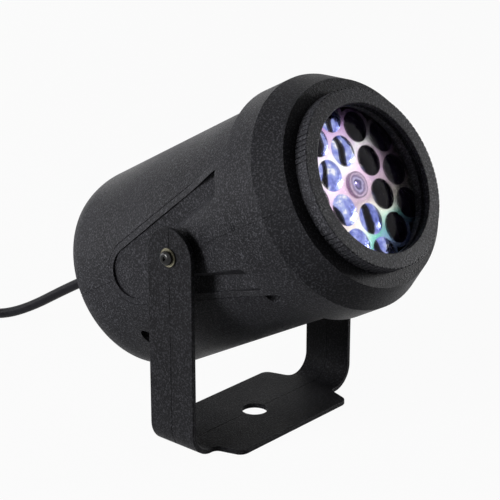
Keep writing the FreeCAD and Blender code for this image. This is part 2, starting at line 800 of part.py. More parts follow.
def make_shells():
    wall = size("shell_wall")
    rear_end = -size("shell_rear_end")
    front_end = size("shell_front_end")
    front_inside = front_end - size("shell_front_wall")
    rear_inside = rear_end + size("shell_rear_lip")
    flank = border_region(0)
    raised = head_outline(0, rear_end, front_end, True)
    outer = head_outline(0, rear_end, front_end).cut(flank).fuse(raised.common(flank))
    cavity = head_outline(wall, rear_inside, front_inside)
    front = size("panel_front_end")
    for sign in LEFT_AND_RIGHT:
        outer = outer.cut(side_tool(sign, 0, 0, front).cut(tongue(sign)))
        cavity = cavity.cut(side_tool(sign, wall, wall, front + wall))
    # Two ribs inside hold the heat sink's plate between them.
    rib_width = size("shell_rib_width")
    gap = size("fit_gap")
    rib_radius = radius_of_barrel(0) - wall - size("shell_rib_reach")
    plate = size("sink_plate_thickness")
    for place in (gap, -plate - gap - rib_width):
        slab = Part.makeCylinder(size("head_reach") * 2, rib_width, Vector(0, 0, place))
        slab = slab.cut(Part.makeCylinder(rib_radius, rib_width, Vector(0, 0, place)))
        cavity = cavity.cut(slab)
    shell = outer.cut(cavity)
    adds = []
    cuts = []
    # Four columns carry the screws that close the shells.
    column = size("well_column_diameter") / 2
    reach = size("head_reach")
    for sign in LEFT_AND_RIGHT:
        for place in (size("well_front"), -size("well_rear")):
            foot = Vector(sign * size("well_side"), -reach, place)
            adds.append(Part.makeCylinder(column, 2 * reach, foot, Y_AXIS).common(outer))
            well_length = reach - size("well_floor_depth")
            cuts.append(Part.makeCylinder(size("well_diameter") / 2, well_length, foot, Y_AXIS))
            hole_length = reach + size("shell_screw_reach")
            cuts.append(Part.makeCylinder(size("shell_screw_diameter") / 2, hole_length, foot, Y_AXIS))
    # Round bosses face the yoke's arms, and each traps a nut.
    inner_face = size("yoke_width") / 2 - size("yoke_strap")
    boss_end = inner_face - size("pivot_gap") - size("pivot_pad_thickness")
    boss_start = size("panel_floor_at_pivot")
    nut_start = size("pivot_nut_place") - gap / 2
    nut_height = size("pivot_nut_height") + gap
    for sign in LEFT_AND_RIGHT:
        way = X_AXIS * sign
        boss_radius = size("pivot_boss_diameter") / 2
        adds.append(Part.makeCylinder(boss_radius, boss_end - boss_start, way * boss_start, way))
        cuts.append(Part.makeCylinder(size("pivot_hole_diameter") / 2, boss_end, ORIGIN, way))
        cuts.append(hexagon(size("pivot_nut_flats") + gap, nut_height, way * nut_start, way))
    # Pairs of ribs keep the lens carriage's pins from turning.
    for angle in CARRIAGE_PIN_ANGLES:
        adds.extend(rib.common(outer) for rib in guide_ribs(angle))
    # Posts in the lower shell carry the driver board.
    board_bottom = -size("driver_board_drop") - size("driver_board_thickness")
    for foot in driver_post_feet():
        post = Part.makeCylinder(size("driver_post_diameter") / 2, reach + board_bottom, foot, Y_AXIS)
        adds.append(post.common(outer))
        depth = size("driver_screw_reach") - size("driver_board_thickness")
        start = Vector(foot.x, board_bottom - depth, foot.z)
        cuts.append(Part.makeCylinder(size("driver_screw_diameter") / 2, depth, start, Y_AXIS))
    shell = shell.multiFuse(adds)
    bore = size("ring_neck_radius") + size("running_gap")
    cuts.append(Part.makeCylinder(bore, OVERRUN, Vector(0, 0, front_inside - OVERRUN / 2)))
    cap_bore = size("shell_rear_radius") - size("shell_rear_lip_reach")
    cuts.append(Part.makeCylinder(cap_bore, OVERRUN, Vector(0, 0, rear_end - OVERRUN / 2)))
    # A fine line follows the raised flank's foot, and a finer one marks the parting plane.
    groove = size("shell_groove_depth")
    flare_start = size("shell_flare_start")
    skin = head_outline(0, rear_end, flare_start)
    skin = skin.cut(head_outline(groove, rear_end - OVERRUN, flare_start + OVERRUN)).cut(flank)
    raised_skin = raised.cut(head_outline(groove, rear_end - OVERRUN, front_end + OVERRUN, True))
    cuts.append(skin.common(border_region(size("border_line_width"))))
    seam = size("shell_seam_width") / 2
    cuts.append(moulded_seam(seam, skin))
    cuts.append(moulded_seam(seam, raised_skin.common(flank)))
    shell = shell.cut(Part.makeCompound(cuts))
    halves = []
    for low in (0, -2 * reach):
        half = Part.makeBox(4 * reach, 2 * reach, 4 * reach, Vector(-2 * reach, low, -2 * reach))
        halves.append(solid(shell.common(half)))
    return halves


def hexagon(flats, height, base, way):
    """A hexagonal bar, flat side up, for nuts and their pockets."""
    radius = flats / math.sqrt(3)
    across = Z_AXIS if abs(way.z) < 0.5 else X_AXIS
    other = way.cross(across)
    points = []
    for index in range(6):
        angle = math.radians(60 * index)
        points.append(base + across * (radius * math.cos(angle)) + other * (radius * math.sin(angle)))
    points.append(points[0])
    return Part.Face(Part.makePolygon(points)).extrude(way * height)


def guide_ribs(angle):
    """The two ribs either side of one guide pin."""
    inner = size("guide_rib_inner_radius")
    thickness = size("guide_rib_thickness")
    length = size("guide_rib_length")
    side_gap = size("carriage_pin_diameter") / 2 + size("carriage_gap") / 2
    middle = size("carriage_front") - size("carriage_thickness") / 2 - size("focus_travel") / 2
    ribs = []
    for sign in LEFT_AND_RIGHT:
        low = side_gap if sign > 0 else -side_gap - thickness
        base = Vector(inner, low, middle - length / 2)
        rib = Part.makeBox(size("head_reach"), thickness, length, base)
        rib.rotate(ORIGIN, Z_AXIS, angle)
        ribs.append(rib)
    return ribs


def driver_post_feet():
    """Where the four driver posts start, under the board."""
    rear = -size("driver_board_rear") + size("driver_post_inset")
    front = -size("driver_board_rear") + size("driver_board_length") - size("driver_post_inset")
    feet = []
    for place in (rear, front):
        for sign in LEFT_AND_RIGHT:
            feet.append(Vector(sign * size("driver_post_side"), -size("head_reach"), place))
    return feet


upper_shell, lower_shell = make_shells()
feature("upper_shell", upper_shell, in_head=True)
feature("lower_shell", lower_shell, in_head=True)


# Screws that close the shells, from below.
def make_shell_screws():
    screws = []
    for sign in LEFT_AND_RIGHT:
        for place in ("well_front", "-well_rear"):
            along = cell("well_front") if place == "well_front" else "-" + cell("well_rear")
            name = "shell_screw_%d" % len(screws)
            side = ("" if sign > 0 else "-") + cell("well_side")
            head_low = "-%s - %s" % (cell("well_floor_depth"), cell("shell_screw_head_height"))
            head = cylinder(
                name + "_head",
                cell("shell_screw_head_diameter"),
                cell("shell_screw_head_height"),
                (side, head_low, along),
                ALONG_Y,
            )
            shank = cylinder(
                name + "_shank",
                cell("shell_screw_diameter"),
                "%s + %s" % (cell("well_floor_depth"), cell("shell_screw_reach")),
                (side, "-" + cell("well_floor_depth"), along),
                ALONG_Y,
            )
            screws.append(fuse(name, [head, shank]))
    return group("shell_screws_group", screws)


keep(make_shell_screws(), "shell_screws", in_head=True)


# Pivot hardware, one set on each side.
def make_pivot_screw(sign):
    way = X_AXIS * sign
    face = size("yoke_width") / 2 + size("pivot_washer_thickness") + size("pivot_gap")
    head_height = size("pivot_screw_head_height")
    head_radius = size("pivot_screw_head_diameter") / 2
    crown_share = 0.7
    head = Part.makeCylinder(head_radius, head_height, way * face, way)
    half_way = face + head_height / 2
    top_edge = [edge for edge in head.Edges if edge.Closed and abs(edge.CenterOfMass.x) > half_way]
    head = head.makeFillet(head_height * crown_share, top_edge)
    shank_radius = size("pivot_screw_diameter") / 2
    shank = Part.makeCylinder(shank_radius, size("pivot_screw_length"), way * face, way * -1)
    screw = head.fuse(shank)
    cross_depth = size("pivot_cross_depth")
    for along in (Y_AXIS, Z_AXIS):
        other = way.cross(along)
        half_length = size("pivot_cross_length") / 2
        half_width = size("pivot_cross_width") / 2
        low = way * (face + head_height - cross_depth)
        deep = size("pivot_cross_width") / 4
        outline = [
            low - along * deep - other * half_width,
            low + along * deep - other * half_width,
            low + along * half_length - other * half_width + way * (2 * cross_depth),
            low - along * half_length - other * half_width + way * (2 * cross_depth),
        ]
        outline.append(outline[0])
        slot = Part.Face(Part.makePolygon(outline)).extrude(other * (2 * half_width))
        screw = screw.cut(slot)
    return screw.removeSplitter().Solids[0]


pivot_screws = Part.makeCompound([make_pivot_screw(sign) for sign in LEFT_AND_RIGHT])
pivot_screws.translate(PIVOT)
feature("pivot_screws", pivot_screws)


def side_rings(name, outer_diameter, bore_diameter, start, thickness):
    """A bound flat ring on each side of the head, on the tilt axis."""
    rings = []
    for side_name, sign, rotation in (("left", "-", Rotation(Y_AXIS, -90)), ("right", "", ALONG_X)):
        base = ("%s(%s)" % (sign, start), "0", cell("yoke_pivot_height"))
        outer = cylinder("%s_%s_outer" % (name, side_name), outer_diameter, thickness, base, rotation)
        bore = cylinder("%s_%s_bore" % (name, side_name), bore_diameter, thickness, base, rotation)
        rings.append(cut("%s_%s" % (name, side_name), outer, bore))
    return group(name + "_group", rings)


washer_start = "%s / 2 + %s" % (cell("yoke_width"), cell("pivot_gap"))
keep(
    side_rings(
        "pivot_washer",
        cell("pivot_washer_diameter"),
        cell("pivot_hole_diameter"),
        washer_start,
        cell("pivot_washer_thickness"),
    ),
    "pivot_washers",
)
pad_start = "%s / 2 - %s - %s - %s" % (
    cell("yoke_width"),
    cell("yoke_strap"),
    cell("pivot_gap"),
    cell("pivot_pad_thickness"),
)
keep(
    side_rings(
        "pivot_pad",
        cell("pivot_pad_diameter"),
        cell("pivot_hole_diameter"),
        pad_start,
        cell("pivot_pad_thickness"),
    ),
    "pivot_pads",
)


def make_pivot_nuts():
    nuts = []
    for sign in LEFT_AND_RIGHT:
        way = X_AXIS * sign
        base = way * size("pivot_nut_place")
        nut = hexagon(size("pivot_nut_flats"), size("pivot_nut_height"), base, way)
        hole = Part.makeCylinder(size("pivot_screw_diameter") / 2, size("pivot_nut_height"), base, way)
        nuts.append(nut.cut(hole).Solids[0])
    return Part.makeCompound(nuts)


feature("pivot_nuts", make_pivot_nuts(), in_head=True)


# Focus ring: a knurled rim outside the collar and a cam skirt inside it.
def make_focus_ring():
    front = size("ring_front")
    collar = size("shell_front_end")
    gap = size("ring_gap")
    flange_rear = collar - size("shell_front_wall") - gap
    radius = size("ring_radius")
    skirt = size("ring_skirt_radius")
    outline = [
        (size("ring_window_radius"), front),
        (radius, front),
        (radius, collar + gap),
        (size("ring_neck_radius"), collar + gap),
        (size("ring_neck_radius"), flange_rear),
        (skirt, flange_rear),
        (skirt, size("ring_skirt_end")),
        (skirt - size("ring_skirt_wall"), size("ring_skirt_end")),
        (skirt - size("ring_skirt_wall"), flange_rear - size("ring_flange_thickness")),
        (size("ring_tube_radius"), flange_rear - size("ring_flange_thickness")),
        (size("ring_tube_radius"), front - size("ring_lip_thickness")),
        (size("ring_window_radius"), front - size("ring_lip_thickness")),
    ]
    points = [Vector(r, 0, z) for r, z in outline]
    points.append(points[0])
    ring = Part.Face(Part.makePolygon(points)).revolve(ORIGIN, Z_AXIS, 360).Solids[0]
    round_edges = [e for e in ring.Edges if e.Closed and abs(e.CenterOfMass.z - front) < gap]
    ring = ring.makeFillet(size("ring_edge_round"), round_edges)
    # Knurl, with a smooth pad at one side.
    tooth = size("knurl_tooth_width")
    count = int(2 * math.pi * radius / tooth)
    groove_width = size("knurl_groove_width")
    depth = size("knurl_groove_depth")
    half_pad = size("knurl_pad_angle") / 2
    rim_rear = collar + gap
    rim_length = front - rim_rear
    cuts = []
    for index in range(count):
        angle = 360 * (index + 0.5) / count
        if abs(angle - size("knurl_pad_centre_angle")) < half_pad:
            continue
        corner = Vector(radius - depth, -groove_width / 2, rim_rear)
        slot = Part.makeBox(OVERRUN, groove_width, rim_length, corner)
        slot.rotate(ORIGIN, Z_AXIS, angle)
        cuts.append(slot)
    # A fine index mark across the pad, on the face and down the side.
    mark = size("ring_mark_width")
    mark_depth = size("ring_mark_depth")
    marks = [
        Part.makeBox(OVERRUN, mark, rim_length, Vector(radius - mark_depth, -mark / 2, rim_rear)),
        Part.makeBox(
            radius - size("ring_window_radius"), mark, OVERRUN,
            Vector(size("ring_window_radius"), -mark / 2, front - mark_depth),
        ),
    ]
    for piece in marks:
        piece.rotate(ORIGIN, Z_AXIS, size("knurl_pad_centre_angle"))
        cuts.append(piece)
    cuts.extend(cam_slot(angle) for angle in CARRIAGE_PIN_ANGLES)
    return solid(ring.cut(Part.makeCompound(cuts)))


def cam_slot(start_angle):
    """The slanted slot in the skirt that one carriage pin follows as the ring turns."""
    steps = 8
    slot_height = size("carriage_pin_diameter") + size("carriage_gap")
    pin_place = size("carriage_front") - size("carriage_thickness") / 2
    skirt = size("ring_skirt_radius")
    wall = size("ring_skirt_wall")
    end_margin = math.degrees(slot_height / 2 / skirt)
    total = size("focus_turn_angle") + 2 * end_margin
    step_angle = total / steps
    turn_length = math.radians(size("focus_turn_angle")) * skirt
    slope = math.degrees(math.atan(size("focus_travel") / turn_length))
    length = 2 * skirt * math.sin(math.radians(step_angle / 2)) + slot_height / 4
    pieces = []
    for index in range(steps):
        turned_by = -end_margin + step_angle * (index + 0.5)
        drop = size("focus_travel") * turned_by / size("focus_turn_angle")
        piece = Part.makeBox(
            3 * wall, length, slot_height,
            Vector(skirt - 2 * wall, -length / 2, -slot_height / 2),
        )
        piece.rotate(ORIGIN, X_AXIS, slope)
        piece.translate(Z_AXIS * (pin_place - drop))
        piece.rotate(ORIGIN, Z_AXIS, start_angle - turned_by)
        pieces.append(piece)
    return pieces[0].multiFuse(pieces[1:])


feature("focus_ring", make_focus_ring(), in_head=True)

lip_rear = "%s - %s" % (cell("ring_front"), cell("ring_lip_thickness"))
seal_rear = "%s - %s" % (lip_rear, cell("window_seal_thickness"))
window_rear = "%s - %s" % (seal_rear, cell("window_thickness"))
retainer_rear = "%s - %s" % (window_rear, cell("window_retainer_length"))
tube_fit = "%s - %s" % (cell("ring_tube_radius"), cell("fit_gap"))


def ring_outline(inner, outer, rear, front):
    """A plain ring's outline, in expressions."""
    return [(inner, rear), (outer, rear), (outer, front), (inner, front)]


turned(
    "window_seal",
    ring_outline("%s - %s" % (tube_fit, cell("window_seal_width")), tube_fit, seal_rear, lip_rear),
)
turned("front_window", ring_outline("0", tube_fit, window_rear, seal_rear))
turned(
    "window_retainer",
    ring_outline(
        "%s - %s" % (tube_fit, cell("window_retainer_width")),
        cell("ring_tube_radius"),
        retainer_rear,
        window_rear,
    ),
)


# Lens carriage: a spoked plate whose pins ride in the ring's cam slots.
def make_carriage():
    thickness = size("carriage_thickness")
    rear = size("carriage_front") - thickness
    radius = size("carriage_radius")
    base = Vector(0, 0, rear)
    rim = Part.makeCylinder(radius, thickness, base)
    rim = rim.cut(Part.makeCylinder(radius - size("carriage_rim_width"), thickness, base))
    hub = Part.makeCylinder(size("carriage_hub_radius"), thickness, base)
    adds = [hub]
    spoke = size("carriage_spoke_width")
    pin_radius = size("carriage_pin_diameter") / 2
    arm_length = radius - size("carriage_rim_width") / 2
    pin_start = Vector(radius - size("carriage_rim_width"), 0, rear + thickness / 2)
    pin_length = size("carriage_pin_end") - pin_start.x
    for angle in CARRIAGE_PIN_ANGLES:
        arm = Part.makeBox(arm_length, spoke, thickness, Vector(0, -spoke / 2, rear))
        arm.rotate(ORIGIN, Z_AXIS, angle)
        adds.append(arm)
        pin = Part.makeCylinder(pin_radius, pin_length, pin_start, X_AXIS)
        pin.rotate(ORIGIN, Z_AXIS, angle)
        adds.append(pin)
    plate = rim.multiFuse(adds)
    cuts = [Part.makeCylinder(size("motor_shaft_diameter") / 2 + size("fit_gap"), thickness, base)]
    for centre in motor_screw_centres():
        cuts.append(Part.makeCylinder(size("motor_screw_diameter") / 2, thickness, base + centre))
    return solid(plate.cut(Part.makeCompound(cuts)))


def motor_screw_centres():
    """The two motor screws, each side of the shaft."""
    return [X_AXIS * (sign * size("motor_screw_circle") / 2) for sign in LEFT_AND_RIGHT]


feature("lens_carriage", make_carriage(), in_head=True)


def make_motor():
    plate_rear = size("carriage_front") - size("carriage_thickness")
    length = size("motor_length")
    gearbox = size("motor_gearbox_length")
    can = Part.makeCylinder(size("motor_diameter") / 2, gearbox, Vector(0, 0, plate_rear - gearbox))
    rest_radius = size("motor_gearbox_diameter") / 2
    rest = Part.makeCylinder(rest_radius, length - gearbox, Vector(0, 0, plate_rear - length))
    motor = can.fuse(rest)
    reach = size("motor_screw_reach")
    bore = size("motor_shaft_diameter") / 2 + size("running_gap")
    cuts = [Part.makeCylinder(bore, gearbox / 2, Vector(0, 0, plate_rear - gearbox / 2))]
    for centre in motor_screw_centres():
        start = centre + Vector(0, 0, plate_rear - reach)
        cuts.append(Part.makeCylinder(size("motor_screw_diameter") / 2, reach, start))
    return solid(motor.cut(Part.makeCompound(cuts)))


feature("wheel_motor", make_motor(), in_head=True)


def make_motor_screws():
    screws = []
    for index, sign in enumerate(("-", "")):
        side = "%s%s / 2" % (sign, cell("motor_screw_circle"))
        shank_length = "%s + %s" % (cell("motor_screw_reach"), cell("carriage_thickness"))
        shank_base = "%s - %s" % (cell("carriage_front"), shank_length.replace(" + ", " - "))
        name = "motor_screw_%d" % index
        shank = cylinder(
            name + "_shank",
            cell("motor_screw_diameter"),
            shank_length,
            (side, "0", shank_base),
        )
        head = cylinder(
            name + "_head",
            cell("motor_screw_head_diameter"),
            cell("motor_screw_head_height"),
            (side, "0", cell("carriage_front")),
        )
        screws.append(fuse(name, [shank, head]))
    return group("motor_screws_group", screws)


keep(make_motor_screws(), "motor_screws", in_head=True)


# Lens wheel: eighteen lenses in three rings round a clear hub.
SHAFT_DEPTH_SHARE = 0.8


def lens_centres():
    """The lenses' centres: a hexagonal array without its middle."""
    pitch = size("lens_pitch")
    first = math.radians(size("lens_first_angle"))
    second = first - math.radians(60)
    centres = []
    for i in range(-2, 3):
        for j in range(-2, 3):
            if (i, j) == (0, 0) or abs(i + j) > 2:
                continue
            across = pitch * (i * math.cos(first) + j * math.cos(second))
            up = pitch * (i * math.sin(first) + j * math.sin(second))
            centres.append(Vector(across, up, 0))
    return centres


def make_wheel():
    thickness = size("wheel_thickness")
    base = Vector(0, 0, size("wheel_front") - thickness)
    lens_radius = size("lens_diameter") / 2
    border = lens_radius + size("lens_border")
    discs = [Part.makeCylinder(border, thickness, base + centre) for centre in lens_centres()]
    plate = Part.makeCylinder(size("wheel_core_radius"), thickness, base).multiFuse(discs)
    cuts = [Part.makeCylinder(lens_radius, thickness, base + centre) for centre in lens_centres()]
    cuts.append(Part.makeCylinder(size("hub_spigot_diameter") / 2, thickness, base))
    return solid(plate.cut(Part.makeCompound(cuts)))


def dome(radius, height, centre):
    """A cap of a sphere over a disc, flat side down at centre."""
    sphere_radius = (radius * radius + height * height) / (2 * height)
    ball = Part.makeSphere(sphere_radius, centre + Vector(0, 0, height - sphere_radius))
    block = Part.makeCylinder(radius, height, centre)
    return ball.common(block)


def make_lenses():
    radius = size("lens_diameter") / 2
    thickness = size("wheel_thickness")
    base = Vector(0, 0, size("wheel_front") - thickness)
    lenses = []
    for centre in lens_centres():
        disc = Part.makeCylinder(radius, thickness, base + centre)
        cap = dome(radius, size("lens_dome_height"), base + centre + Vector(0, 0, thickness))
        lenses.append(solid(disc.fuse(cap)))
    return Part.makeCompound(lenses)


def make_hub():
    front = size("wheel_front")
    flange = size("hub_flange_thickness")
    shape = Part.makeCylinder(size("hub_diameter") / 2, flange, Vector(0, 0, front))
    spigot_start = front - size("hub_length")
    spigot_radius = size("hub_spigot_diameter") / 2
    spigot = Part.makeCylinder(spigot_radius, size("hub_length"), Vector(0, 0, spigot_start))
    shape = shape.fuse(spigot)
    dimple = dome(size("hub_dimple_diameter") / 2, size("hub_dimple_depth"), ORIGIN)
    dimple.rotate(ORIGIN, X_AXIS, 180)
    dimple.translate(Vector(0, 0, front + flange))
    shaft_length = size("hub_length") * SHAFT_DEPTH_SHARE
    bore = Part.makeCylinder(size("motor_shaft_diameter") / 2, shaft_length, Vector(0, 0, spigot_start))
    return solid(shape.cut(dimple).cut(bore))


feature("lens_wheel", make_wheel(), in_head=True)
feature("wheel_lenses", make_lenses(), in_head=True)
feature("wheel_hub", make_hub(), in_head=True)

shaft_rear = "%s - %s - %s / 2 + %s" % (
    cell("carriage_front"),
    cell("carriage_thickness"),
    cell("motor_gearbox_length"),
    cell("fit_gap"),
)
shaft_front = "%s - %s * (1 - %s)" % (cell("wheel_front"), cell("hub_length"), SHAFT_DEPTH_SHARE)
turned(
    "motor_shaft",
    ring_outline("0", "%s / 2" % cell("motor_shaft_diameter"), shaft_rear, shaft_front),
)

# Light engine, from the slide back to the heat sink.
tube_inner = "%s - %s" % (cell("tube_radius"), cell("tube_wall"))
tube_seat = "%s - %s" % (tube_inner, cell("fit_gap"))
ledge_radius = "%s - %s" % (tube_inner, cell("tube_ledge_width"))


def make_light_tube():
    radius = size("tube_radius")
    inner = radius - size("tube_wall")
    ledge = inner - size("tube_ledge_width")
    front = size("tube_front")
    tube_shape = Part.makeCylinder(radius, front)
    fin = size("tube_fin_thickness")
    fins = []
    outer_reach = radius_of_barrel(0) - size("shell_wall") - size("fit_gap")
    for angle in TUBE_FIN_ANGLES:
        piece = Part.makeBox(
            outer_reach - inner, fin, size("tube_fin_length"),
            Vector(inner, -fin / 2, size("tube_fin_place")),
        )
        piece.rotate(ORIGIN, Z_AXIS, angle)
        fins.append(piece)
    tube_shape = tube_shape.multiFuse(fins)
    ledge_start = size("tube_ledge_height") - size("tube_wall")
    tube_shape = tube_shape.cut(Part.makeCylinder(inner, ledge_start))
    tube_shape = tube_shape.cut(Part.makeCylinder(ledge, front))
    tube_shape = tube_shape.cut(Part.makeCylinder(inner, front, Vector(0, 0, size("tube_ledge_height"))))
    return solid(tube_shape)


feature("light_tube", make_light_tube(), in_head=True)


def make_condenser():
    radius = size("tube_radius") - size("tube_wall") - size("fit_gap")
    start = Vector(0, 0, size("tube_ledge_height"))
    edge = Part.makeCylinder(radius, size("condenser_edge"), start)
    face = radius - size("spacer_wall")
    cap = dome(face, size("condenser_dome"), start + Vector(0, 0, size("condenser_edge")))
    return solid(edge.fuse(cap))


feature("condenser_lens", make_condenser(), in_head=True)

spacer_rear = "%s + %s" % (cell("tube_ledge_height"), cell("condenser_edge"))
retainer_front = cell("tube_front")
slide_front = "%s - %s" % (retainer_front, cell("retainer_thickness"))
slide_rear = "%s - %s" % (slide_front, cell("slide_thickness"))
turned(
    "lens_spacer",
    ring_outline("%s - %s" % (tube_seat, cell("spacer_wall")), tube_seat, spacer_rear, slide_rear),
)
turned("pattern_slide", ring_outline("0", tube_seat, slide_rear, slide_front))
turned(
    "slide_retainer",
    ring_outline("%s - %s" % (tube_inner, cell("retainer_width")), tube_inner, slide_front, retainer_front),
)
turned("led_board", ring_outline("0", cell("led_board_radius"), "0", cell("led_board_thickness")))


def make_leds():
    """Four LEDs on the board: a square package with a clear dome each."""
    leds = []
    width = size("led_package_width")
    height = size("led_package_height")
    top = size("led_board_thickness")
    circle = size("led_circle_radius")
    for angle in LED_ANGLES:
        turn = math.radians(angle)
        centre = Vector(circle * math.cos(turn), circle * math.sin(turn), top)
        package = Part.makeBox(width, width, height, centre - Vector(width / 2, width / 2, 0))
        ball = Part.makeSphere(size("led_dome_radius"), centre + Vector(0, 0, height))
        block = Part.makeBox(width, width, width, centre + Vector(-width / 2, -width / 2, height))
        leds.append(solid(package.fuse(ball.common(block))))
    return Part.makeCompound(leds)


feature("led_emitters", make_leds(), in_head=True)


def make_heat_sink():
    plate = size("sink_plate_thickness")
    gap = size("fit_gap")
    radius = radius_of_barrel(0) - size("shell_wall") - gap
    disc = Part.makeCylinder(radius, plate, Vector(0, 0, -plate))
    slope = math.tan(math.radians(size("panel_floor_slope_angle")))
    flat = size("panel_floor_at_pivot") - size("shell_wall") - gap - slope * gap
    disc = disc.common(Part.makeBox(2 * flat, 2 * radius, plate, Vector(-flat, -radius, -plate)))
    length = size("sink_fin_length")
    thickness = size("sink_fin_thickness")
    pitch = size("sink_fin_pitch")
    fin_radius = size("sink_fin_radius")
    fins = []
    for index in range(int(fin_radius / pitch)):
        for sign in LEFT_AND_RIGHT:
            side = sign * pitch * (index + 0.5)
            half_height = math.sqrt(fin_radius * fin_radius - side * side)
            fins.append(Part.makeBox(
                thickness, 2 * half_height, length + plate / 2,
                Vector(side - thickness / 2, -half_height, -plate / 2 - length - plate / 2),
            ))
    sink = disc.multiFuse(fins)
    cuts = []
    lead = size("lead_diameter") / 2
    for sign in LEFT_AND_RIGHT:
        base = Vector(sign * size("lead_pitch") / 2, -led_lead_drop(), -plate)
        cuts.append(Part.makeCylinder(lead, plate, base))
        notch_side = size("motor_lead_side") + sign * size("lead_pitch") / 2
        notch = Vector(notch_side, -size("motor_lead_drop"), -plate)
        cuts.append(Part.makeCylinder(lead, plate, notch))
    return solid(sink.cut(Part.makeCompound(cuts)))


def led_lead_drop():
    """How far under the axis the LED leads run: the middle of the terminals' height."""
    return size("driver_board_drop") - size("terminal_height") / 2


feature("heat_sink", make_heat_sink(), in_head=True)

# Driver board and its components, on posts in the lower shell.
board_rear = "-" + cell("driver_board_rear")
board_top = "-" + cell("driver_board_drop")
board_bottom = "%s - %s" % (board_top, cell("driver_board_thickness"))


def make_driver_board():
    plate = box(
        "driver_plate",
        cell("driver_board_width"),
        cell("driver_board_thickness"),
        cell("driver_board_length"),
        ("-%s / 2" % cell("driver_board_width"), board_bottom, board_rear),
    )
    holes = []
    for index, (side, along) in enumerate(driver_screw_places()):
        holes.append(cylinder(
            "driver_hole_%d" % index,
            cell("driver_screw_diameter"),
            cell("driver_board_thickness"),
            (side, board_bottom, along),
            ALONG_Y,
        ))
    return cut("driver_plate_cut", plate, fuse("driver_holes", holes))


def driver_screw_places():
    """The four screws' sideways and axial places, in expressions."""
    rear = "%s + %s" % (board_rear, cell("driver_post_inset"))
    front = "%s + %s - %s" % (board_rear, cell("driver_board_length"), cell("driver_post_inset"))
    return [(sign + cell("driver_post_side"), along) for along in (rear, front) for sign in ("-", "")]


keep(make_driver_board(), "driver_board", in_head=True)


def make_driver_screws():
    screws = []
    for index, (side, along) in enumerate(driver_screw_places()):
        name = "driver_screw_%d" % index
        low = "%s - %s" % (board_top, cell("driver_screw_reach"))
        shank = cylinder(
            name + "_shank",
            cell("driver_screw_diameter"),
            cell("driver_screw_reach"),
            (side, low, along),
            ALONG_Y,
        )
        head = cylinder(
            name + "_head",
            cell("driver_screw_head_diameter"),
            cell("driver_screw_head_height"),
            (side, board_top, along),
            ALONG_Y,
        )
        screws.append(fuse(name, [shank, head]))
    return group("driver_screws_group", screws)


keep(make_driver_screws(), "driver_screws", in_head=True)


def make_transformer():
    width = size("transformer_width")
    length = size("transformer_length")
    height = size("transformer_height")
    low = Vector(
        size("transformer_side") - width / 2,
        -size("driver_board_drop"),
        -size("driver_board_rear") + (size("driver_board_length") - length) / 2,
    )
    core = Part.makeBox(width, height, length, low)
    # The winding stands proud of the core on both sides.
    proud_share = 0.1
    proud = width * proud_share
    winding = Part.makeBox(
        width + 2 * proud, height / 2, length / 2,
        low + Vector(-proud, height / 4, length / 4),
    )
    return solid(core.fuse(winding))


feature("driver_transformer", make_transformer(), in_head=True)


def make_capacitors():
    cans = []
    board_middle = "%s + %s / 2" % (board_rear, cell("driver_board_length"))
    for index, sign in enumerate(("-", "+")):
        along = "%s %s %s / 2" % (board_middle, sign, cell("capacitor_pitch"))
        cans.append(cylinder(
            "capacitor_%d" % index,
            cell("capacitor_diameter"),
            cell("capacitor_height"),
            ("-" + cell("capacitor_side"), board_top, along),
            ALONG_Y,
        ))
    return group("capacitor_group", cans)


keep(make_capacitors(), "driver_capacitors", in_head=True)


def make_terminals():
    """Two terminal blocks: mains at the rear edge and LED leads at the front edge."""
    blocks = []
    front = "%s + %s - %s" % (board_rear, cell("driver_board_length"), cell("terminal_length"))
    for name, along in (("mains_terminal", board_rear), ("led_terminal", front)):
        blocks.append(box(
            name,
            cell("terminal_width"),
            cell("terminal_height"),
            cell("terminal_length"),
            ("-%s / 2" % cell("terminal_width"), board_top, along),
        ))
    return group("terminal_group", blocks)


keep(make_terminals(), "driver_terminals", in_head=True)


# Leads held inside the head.
def make_led_leads():
    leads = []
    start = "%s + %s" % (board_rear, cell("driver_board_length"))
    drop = "-%s + %s / 2" % (cell("driver_board_drop"), cell("terminal_height"))
    for index, sign in enumerate(("-", "")):
        leads.append(cylinder(
            "led_lead_%d" % index,
            cell("lead_diameter"),
            "-(%s)" % start,
            ("%s%s / 2" % (sign, cell("lead_pitch")), drop, start),
        ))
    return group("led_lead_group", leads)


keep(make_led_leads(), "led_leads", in_head=True)


def make_motor_leads():
    """Two leads from under the board, past the heat sink, to the motor's side."""
    leads = []
    start_y = -size("driver_board_drop") - size("driver_board_thickness")
    start_z = -size("driver_board_rear") + size("driver_board_length") - size("driver_post_inset") / 2
    drop = -size("motor_lead_drop")
    end_z = size("motor_lead_end")
    motor_reach = size("motor_gearbox_diameter") / 2 + size("fit_gap")
    bend = size("motor_lead_bend_radius")
    for sign in LEFT_AND_RIGHT:
        side = size("motor_lead_side") + sign * size("lead_pitch") / 2
        level = drop
        toward = Vector(-side, -level, 0).normalize()
        end = Vector(side, level, end_z) + toward * (math.hypot(side, level) - motor_reach)
        points = [
            Vector(side, start_y, start_z),
            Vector(side, level, start_z),
            Vector(side, level, end_z),
            end,
        ]
        leads.append(tube(tube_wire(points, [bend, bend]), size("lead_diameter") / 2))
    return Part.makeCompound(leads)


feature("motor_leads", make_motor_leads(), in_head=True)


def make_power_lead():
    """The cord's inner end, from the gland down to the mains terminal."""
    start_z = gland_inner_end()
    rise = size("gland_rise")
    top = -size("driver_board_drop") + size("terminal_height")
    corner_z = -size("driver_board_rear") + size("terminal_length") / 2
    points = [Vector(0, rise, start_z), Vector(0, rise, corner_z), Vector(0, top, corner_z)]
    run = corner_z - start_z
    bend_share = 0.9
    radius = min(size("inner_lead_bend_radius"), run * bend_share)
    return tube(tube_wire(points, [radius]), size("cord_diameter") / 2)


